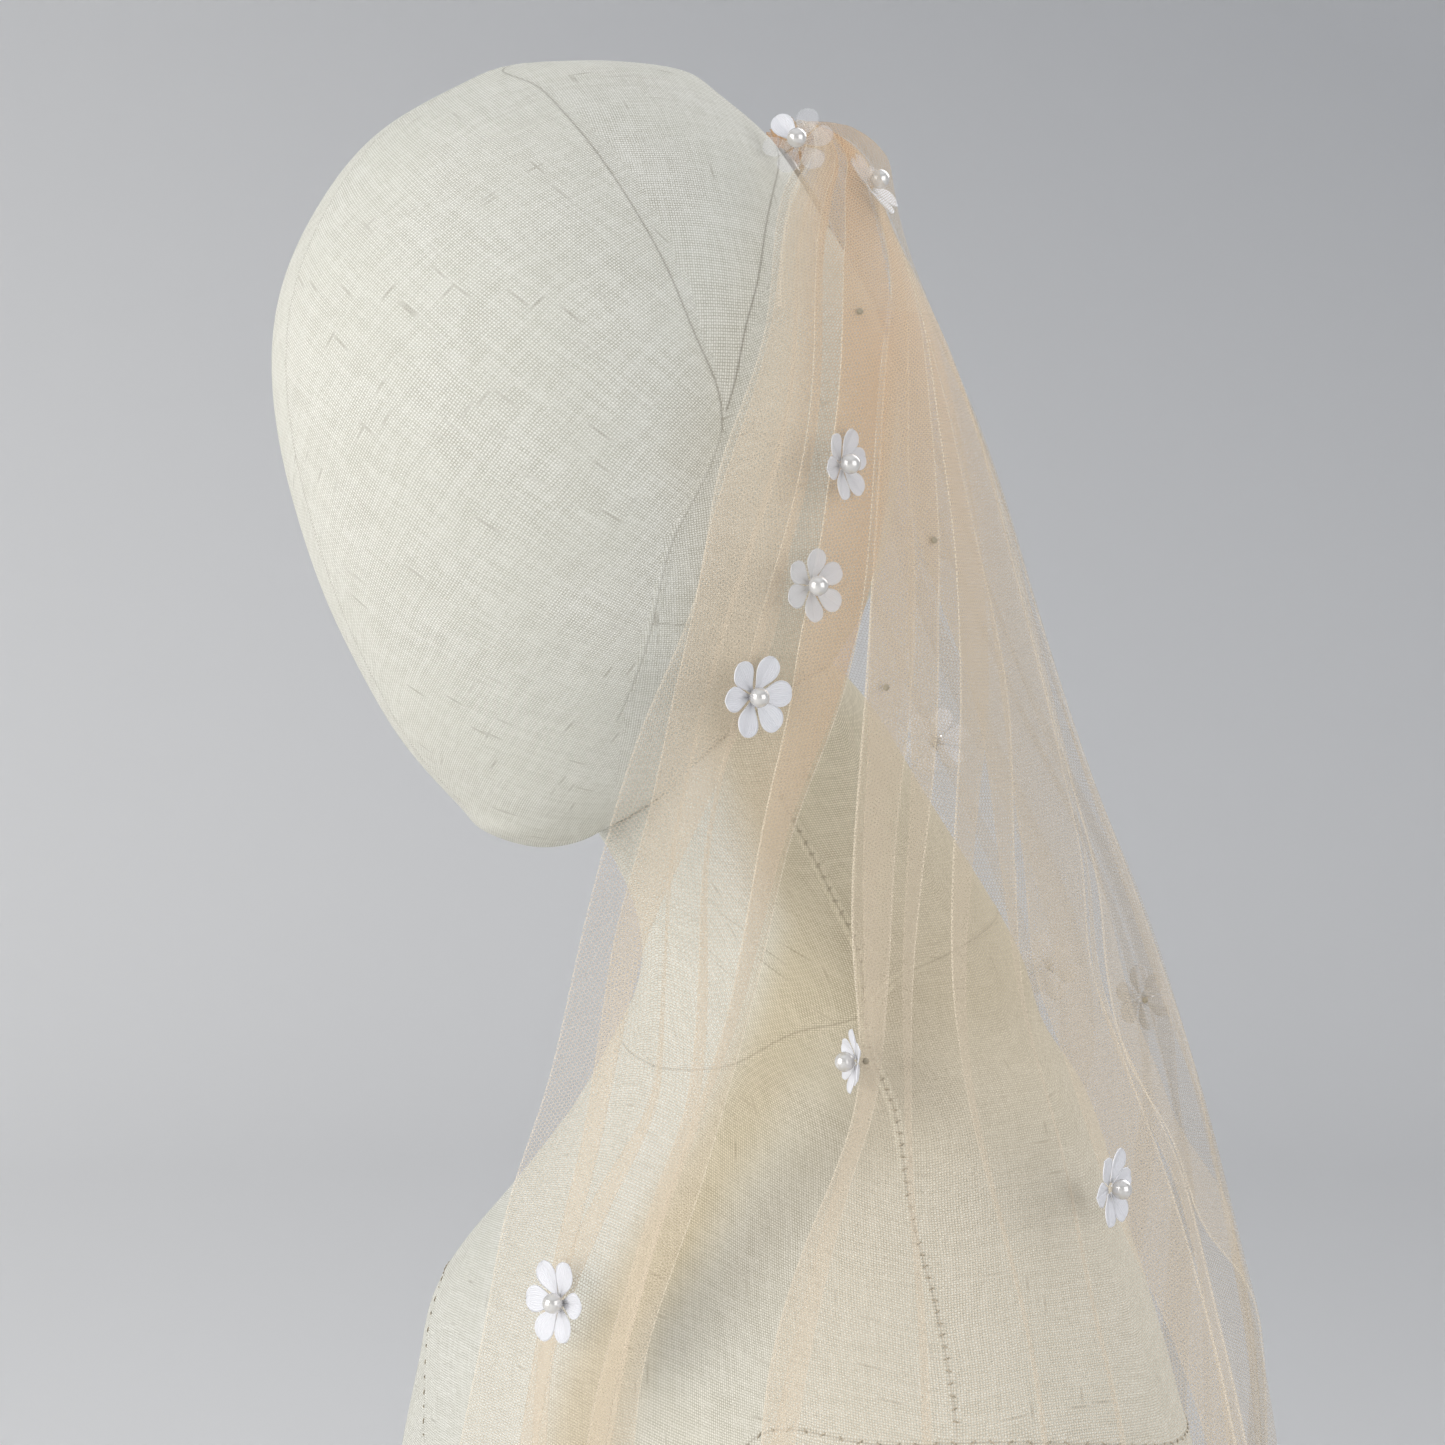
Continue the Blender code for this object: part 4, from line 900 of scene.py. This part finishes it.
    # how gathered the net is: more thread cover, and a deeper peach that is partly painted shade
    low = (0.2, 0.12, 0.08, 0.06) if first == FRONT_EDGE else (0.18, 0.07, 0.04, 0.02)
    gathered = np.interp(at, (0, 1, 2.5, 4, 6, 9, 12, 17), (0.56, 0.52, 0.42, 0.28) + low)[:, None]
    gathered = gathered * np.interp(table[:, FRONT_EDGE][:, None] - degrees, (4.0, 22.0), (0.25, 1.0))
    if first == FRONT_EDGE:
        # behind the jaw the fall's rear edge hangs in small folds
        behind = np.interp(at, (4.0, 5.5, 8.5, 10.0), (0.0, 0.07, 0.07, 0.0))[:, None]
        gathered = gathered + behind * np.clip(1.0 - (degrees - end[:, None]) / 14.0, 0.0, 1.0)
    turned = np.radians(18.0 + 13.0 * panel_of)[None, :]
    uv = np.stack([
        uv[..., 0] * np.cos(turned) - uv[..., 1] * np.sin(turned), uv[..., 0] * np.sin(turned) + uv[..., 1] * np.cos(turned),
    ], -1)
    gathered = gathered * np.interp(degrees, (-60.0, -20.0, 25.0, 50.0, 75.0), (0.08, 0.1, 0.25, 0.85, 1.0))
    thin = np.full(point.shape[:2], 0.45) if columns_shift else np.interp(degrees, (20.0, 48.0, 62.0), (0.4, 0.35, 0.0))
    marks = {"dense": gathered.reshape(-1), "edge": (dense * (0.25 if columns_shift else 1.0)).reshape(-1), "thin": thin.reshape(-1)}
    return build(name, point.reshape(-1, 3), grid_faces(rows, point.shape[1]), NET, uv.reshape(-1, 2), marks)


def roll_width(at):
    return path(((0, 1.5), (4, 3), (6, 6), (7, 8), (8.6, 5), (10.2, 3.5), (11.7, 1.8), (13.4, 1.8), (17, 2)), at)


ROWS_DOWN = 170
falls = (
    ("net_front_fall", FRONT_PLEATS, FRONT_EDGE, FRONT_END, False, 11, None, "veil_front_fall"),
    ("net_back_near", NEAR_PLEATS, BACK_EDGE, FAR_EDGE, False, 12, roll_width, "veil_back_near"),
    ("net_back_far", FAR_PLEATS, BACK_EDGE, FAR_EDGE, True, 13, None, "veil_back_far"),
)
for name, pleats, first, last, far, seed, rolled, node in falls:
    made = build_net(name, pleats, first, last, far, ROWS_DOWN, seed, rolled)
    made.visible_shadow = False
    made.visible_diffuse = False
    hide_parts(node)
    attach(made, "root")


# Gathered head of the veil over the comb -------------------------------------------------------

HEADER_ROWS = (
    (643.5, 651.5, 28.2, 24.2, 0.3), (646.6, 654.4, 28.8, 24.8, 0.5),
    (651.5, 658.5, 30.0, 26.0, 0.9), (656.5, 662.0, 31.0, 27.0, 1.2), (659.5, 663.5, 30.0, 26.2, 1.5),
)
columns, rows = 300, 16
turn = np.radians(np.linspace(50.0, -50.0, columns))
table = natural_spline(np.arange(len(HEADER_ROWS)), np.array(HEADER_ROWS), np.linspace(0.0, len(HEADER_ROWS) - 1, rows))
sine, cosine = np.sin(turn)[None, :], np.cos(turn)[None, :]
cell = lambda k: table[:, k][:, None]
wave = np.sin(2.0 * math.pi * 17 * np.linspace(0, 1, columns)) + 0.6 * np.sin(2.0 * math.pi * 41 * np.linspace(0, 1, columns) + 1.0)
out = np.stack([sine / cell(3), cosine / cell(2), np.zeros((rows, columns))], -1)
out /= np.linalg.norm(out, axis=-1, keepdims=True)
point = np.stack([cell(3) * sine, -42.0 + cell(2) * cosine, cell(0) + (cell(1) - cell(0)) * sine ** 2], -1)
far = np.clip((-5.0 - np.degrees(turn)) / 35.0, 0.0, 1.0)
point[..., 2] -= (FAR_DROP * far * far * (3.0 - 2.0 * far))[None, :]
point = point + out * (cell(4) * wave[None, :] * 0.8)[..., None]
uv = np.stack(np.broadcast_arrays(np.linspace(0, 220.0, columns)[None, :], np.linspace(0, 18.0, rows)[:, None]), -1)
gather = build("net_gather", point.reshape(-1, 3), grid_faces(rows, columns), NET, uv.reshape(-1, 2), {"dense": np.full(rows * columns, 0.5)})
gather.visible_shadow = False
gather.visible_diffuse = False
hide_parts("veil_gather")
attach(gather, "root")

# Loose fold of the net that stands over the comb and the flowers there
rows, columns = 46, 70
place = np.linspace(0.15, 4.6, rows) / LAST_ROW
at = place[:, None] * LAST_ROW
share = np.linspace(0.0, 1.0, columns)[None, :]
start = np.interp(at, (0.15, 1.0, 2.0, 3.0, 4.0, 4.6), (52.0, 60.0, 72.0, 84.0, 95.0, 100.0))
degrees = start + (31.0 - start) * share
point, out, _, _ = guide(degrees, place)
stand = np.interp(at, (0.15, 1.0, 2.0, 3.0, 4.0, 4.6), (4.0, 8.0, 9.6, 8.0, 3.0, 0.8))
stand = stand * np.interp(share, (0.0, 0.15, 0.35, 0.7, 0.85, 1.0), (0.1, 0.75, 1.0, 0.9, 0.6, 0.1))
lines = noise_lines(71, 6, 60.0, 170.0)
stand = stand + 0.45 * wander(lines, share) * np.interp(at, (0.15, 1.5, 4.6), (1.0, 0.8, 0.2)) + 0.6
point = point + out * stand[..., None]
across = np.concatenate([np.zeros((rows, 1)), np.cumsum(np.linalg.norm(np.diff(point, axis=1), axis=2), axis=1)], axis=1)
down = np.concatenate([np.zeros((1, columns)), np.cumsum(np.linalg.norm(np.diff(point, axis=0), axis=2), axis=0)], axis=0)
turned = np.radians(-24.0)
uv = np.stack([across * np.cos(turned) - down * np.sin(turned), across * np.sin(turned) + down * np.cos(turned)], -1)
edge = np.zeros((rows, columns))
edge[:, :2] = edge[:2, :] = 0.15
haze = np.repeat(np.interp(at, (0.15, 1.5, 3.0, 4.6), (0.30, 0.22, 0.12, 0.0)), columns, axis=1)
puff = build("net_puff", point.reshape(-1, 3), grid_faces(rows, columns), NET, uv.reshape(-1, 2), {"dense": haze, "edge": edge})
puff.visible_shadow = False
puff.visible_diffuse = False
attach(puff, "root")

# Satin flowers and pearls ----------------------------------------------------------------------


def node_points(name):
    mesh = frame["nodes"][name].data
    found = np.zeros(len(mesh.vertices) * 3, np.float32)
    mesh.vertices.foreach_get("co", found)
    return found.reshape(-1, 3).astype(float) / MM - CENTRING


PETAL_ROWS, PETAL_COLUMNS = 13, 11
FOOT, DISC, ROUND = 0.14, 0.685, 0.315    # where a petal starts, the middle of its round end and its radius, per reach


def petal_sheet(reach):
    """One petal: broad round end, narrow foot, a crease down its middle and a slight cup."""
    u = np.sin(np.linspace(0.0, 1.0, PETAL_ROWS) * math.pi / 2.0)[:, None]
    v = np.linspace(-1.0, 1.0, PETAL_COLUMNS)[None, :]
    r = FOOT + (DISC + ROUND - FOOT) * u
    disc = np.sqrt(np.clip(ROUND ** 2 - (r - DISC) ** 2, 0.0, None))
    t = np.clip((r - FOOT) / (DISC - FOOT), 0.0, 1.0)
    half = np.where(r > DISC, disc, 0.055 + (ROUND - 0.055) * (t * t * (3.0 - 2.0 * t)) ** 0.8)
    half = np.maximum(half, 0.004)
    along = reach * r
    side = reach * half * v
    rise = 1.6 * u ** 1.6 + 0.7 * np.abs(v) ** 1.5 * (half / ROUND) - 0.4 * np.exp(-(v / 0.14) ** 2) * (1.0 - 0.5 * u)
    return along + 0 * v, side, rise + 0 * v, 3.2 * v + 0 * u


def round_ball(centre, radius, segments, rings):
    points, faces = [centre + np.array([0, 0, radius])], []
    for r in range(1, rings):
        tilt = math.pi * r / rings
        for s in range(segments):
            turn = 2 * math.pi * s / segments
            points.append(centre + radius * np.array([math.sin(tilt) * math.cos(turn), math.sin(tilt) * math.sin(turn), math.cos(tilt)]))
    points.append(centre - np.array([0, 0, radius]))
    for s in range(segments):
        faces.append((0, 1 + s, 1 + (s + 1) % segments))
        low = 1 + (rings - 2) * segments
        faces.append((low + (s + 1) % segments, low + s, len(points) - 1))
    faces += grid_faces(rings - 1, segments, True, 1)
    return points, faces


PEARL_OFF = 3.75
# How far a layer of net over a flower veils its petals, and the side on which one petal is free of it
SHEER = {"01": 0.42, "02": 0.55, "19": 0.74, "21": 0.85}
# Flowers that lie partly under a fold: turn about the upright and size against their solid
LEAN = {"01": (20.0, 0.93), "02": (10.0, 0.98), "03": (14.0, 1.0), "04": (-24.0, 1.0), "14": (16.0, 1.0), "20": (-12.0, 0.95)}
OPEN_PETALS = {"19": np.array([0.469, 0.883, -0.35]), "21": np.array([-0.36, -0.62, 0.70])}
flowers = sorted(name for name in frame["nodes"] if name.startswith("flower_"))
for index, name in enumerate(flowers):
    number = name.split("_")[1]
    ball = node_points(f"pearl_{number}")
    ball_centre = (ball.min(0) + ball.max(0)) / 2.0
    ball_radius = float((ball.max(0) - ball.min(0)).max() / 2.0)
    spots = node_points(name)
    facing = ball_centre - spots.mean(0)
    facing /= np.linalg.norm(facing)
    centre = ball_centre - facing * PEARL_OFF
    side = np.cross((0.0, 0.0, 1.0), facing)
    side /= np.linalg.norm(side)
    up = np.cross(facing, side)
    flat = spots - centre
    a, b = flat @ side, flat @ up
    lean, size = LEAN.get(number, (0.0, 1.0))
    c, s = math.cos(math.radians(lean)), math.sin(math.radians(lean))
    facing, side, up = (np.array([c * v[0] - s * v[1], s * v[0] + c * v[1], v[2]]) for v in (facing, side, up))
    reach = np.hypot(a, b)
    radius = reach.max()
    outer = reach > radius * 0.95
    radius *= size
    phase = np.angle(np.exp(6j * np.arctan2(b[outer], a[outer])).sum()) / 6.0
    draw = np.random.default_rng(100 + index)
    points, faces, uvs, marks = [], [], [], []
    open_side = OPEN_PETALS.get(number)
    for petal in range(6):
        along, across, rise, rib = petal_sheet(radius)
        turn = phase + math.radians(60.0 * petal + draw.uniform(-4.0, 4.0))
        bend = 1.0 + draw.uniform(-0.06, 0.02)
        lift = draw.uniform(-0.3, 0.5)
        x = (along * math.cos(turn) - across * math.sin(turn)) * bend
        y = (along * math.sin(turn) + across * math.cos(turn)) * bend
        z = rise + lift * (along / radius) ** 2 + 0.12 * (petal % 2)
        shape = centre + x[..., None] * side + y[..., None] * up + z[..., None] * facing
        start = len(points)
        points += shape.reshape(-1, 3).tolist()
        uvs += np.stack([rib, along], -1).reshape(-1, 2).tolist()
        shown = open_side is not None and np.dot(shape.reshape(-1, 3).mean(0) - centre, open_side) > 0.52 * radius
        marks += [SHEER.get(number, 0.06) if not shown else 0.0] * along.size
        faces += grid_faces(PETAL_ROWS, PETAL_COLUMNS, False, start)
    made = build(f"satin_{name}", points, faces, SATIN, uvs, {"sheer": marks})
    thick = made.modifiers.new("wall", "SOLIDIFY")
    thick.thickness = 0.0003
    thick.offset = 0.0
    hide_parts(name)
    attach(made, "root")
    points, faces = round_ball(ball_centre, ball_radius, 28, 18)
    made = build(f"glossy_pearl_{number}", points, faces, PEARL)
    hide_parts(f"pearl_{number}")
    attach(made, "root")

# Thread knots on the inside stitches and two small beads, as row and degrees on the guide
KNOTS = ((4.62, 75.6), (7.86, 82.2), (6.66, 69.6), (10.62, 45.3), (10.8, 100.5))
BEADS = ((2.62, 50.4), (2.62, 44.4))
for name, spots, radius, lift, look, slot in (
    ("thread_knots", KNOTS, 0.95, 1.6, THREAD, "champagne_net"), ("small_beads", BEADS, 1.3, 4.6, PEARL, "pearl"),
):
    points, faces = [], []
    for row, turn in spots:
        place, out, _, _ = guide(np.array([[turn]]), np.array([row / LAST_ROW]))
        more, more_faces = round_ball(place[0, 0] + out[0, 0] * lift, radius, 12, 8)
        faces += [tuple(v + len(points) for v in face) for face in more_faces]
        points += [p.tolist() for p in more]
    made = build(name, points, faces, look)
    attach(made, "root")

# Comb and arm caps keep their solids -----------------------------------------------------------

for name, look in (("comb", METAL), ("arm_cap_left", WOOD), ("arm_cap_right", WOOD)):
    piece = frame["nodes"][name]
    piece.data.materials.clear()
    piece.data.materials.append(look)

# Stage, light and camera -----------------------------------------------------------------------

WALL_LOOK = Nodes("backdrop_look")
place = WALL_LOOK.put("ShaderNodeSeparateXYZ", {0: WALL_LOOK.put("ShaderNodeTexCoord").outputs["Object"]})
side = WALL_LOOK.math("MULTIPLY_ADD", place.outputs[1], 0.883, WALL_LOOK.math("MULTIPLY", place.outputs[0], 0.469))
# painted shade on the backdrop: its colour darkens higher up and towards the right
shade = WALL_LOOK.math(
    "ADD", WALL_LOOK.ramp(place.outputs[2], 0.0, 1.1, 0.0, 0.55, "LINEAR"), WALL_LOOK.ramp(side, -0.8, 0.8, 0.0, 0.55, "LINEAR"),
)
WALL_LOOK.shader(Base_Color=WALL_LOOK.mix(shade, colour(252, 251, 249), colour(197, 198, 200)), Roughness=0.95, Specular_IOR_Level=0.1)
profile = [(0.02, 0.0), (1.9, 0.0)]
profile += [(1.9 + 1.3 * math.sin(a), 1.3 - 1.3 * math.cos(a)) for a in np.linspace(0.1, math.pi / 2, 14)]
profile += [(3.2, 2.2), (3.2, 3.2), (3.2, 4.2)]
points, faces = [], grid_faces(len(profile), 96, True)
for radius, height in profile:
    for k in range(96):
        turn = 2 * math.pi * k / 96
        points.append((radius * math.cos(turn) * 1000.0, radius * math.sin(turn) * 1000.0, height * 1000.0 - 0.2))
faces.append(tuple(range(95, -1, -1)))
stage = build("floor", np.array(points) - CENTRING, faces, WALL_LOOK.material)

world = bpy.data.worlds.new("studio")
world.use_nodes = True
world.node_tree.nodes["Background"].inputs[0].default_value = colour(246, 249, 255)
world.node_tree.nodes["Background"].inputs[1].default_value = 0.8
bpy.context.scene.world = world

AIM = Vector((-0.00794, -0.01211, 0.479))
RIGHT = Vector((0.469, 0.883, 0.0))
TOWARDS = Vector((0.8808, -0.4683, 0.0698))


def area_light(name, right, up, towards, size, power, tone):
    """Soft light placed by how far it is to the right of, above and in front of the object, in metres."""
    data = bpy.data.lights.new(name, "AREA")
    data.size, data.energy, data.color = size, power, tone
    lamp = bpy.data.objects.new(name, data)
    lamp.location = AIM + RIGHT * right + Vector((0, 0, up)) + TOWARDS * towards
    lamp.rotation_mode = "QUATERNION"
    lamp.rotation_quaternion = (AIM - lamp.location).to_track_quat("-Z", "Y")
    bpy.context.scene.collection.objects.link(lamp)
    return lamp


area_light("window", -1.9, 0.3, 1.1, 1.9, 39.5, (1.0, 0.995, 0.985))
area_light("bounce", 1.5, 0.2, 1.5, 1.8, 20.0, (0.985, 0.99, 1.0))
rear = area_light("rear", 1.2, 1.4, -1.5, 1.8, 26.0, (1.0, 1.0, 1.0))
# the rear light reaches the pieces, not the backdrop
lit = bpy.data.collections.new("lit_from_behind")
for made in bpy.context.scene.objects:
    if made.type == "MESH" and made != stage:
        lit.objects.link(made)
rear.light_linking.receiver_collection = lit

camera_data = bpy.data.cameras.new("camera")
camera_data.sensor_width = 36.0
camera_data.lens = 98.0
camera_data.clip_start, camera_data.clip_end = 0.05, 20.0
camera = bpy.data.objects.new("camera", camera_data)
bpy.context.scene.collection.objects.link(camera)
camera.location = AIM + TOWARDS.normalized() * 1.2
camera.rotation_mode = "QUATERNION"
camera.rotation_quaternion = (AIM - camera.location).to_track_quat("-Z", "Y")
bpy.context.scene.camera = camera
scene = bpy.context.scene
scene.view_settings.view_transform = "Standard"
scene.cycles.max_bounces = 4
scene.cycles.diffuse_bounces = 2
scene.cycles.glossy_bounces = 2
scene.cycles.transparent_max_bounces = 32
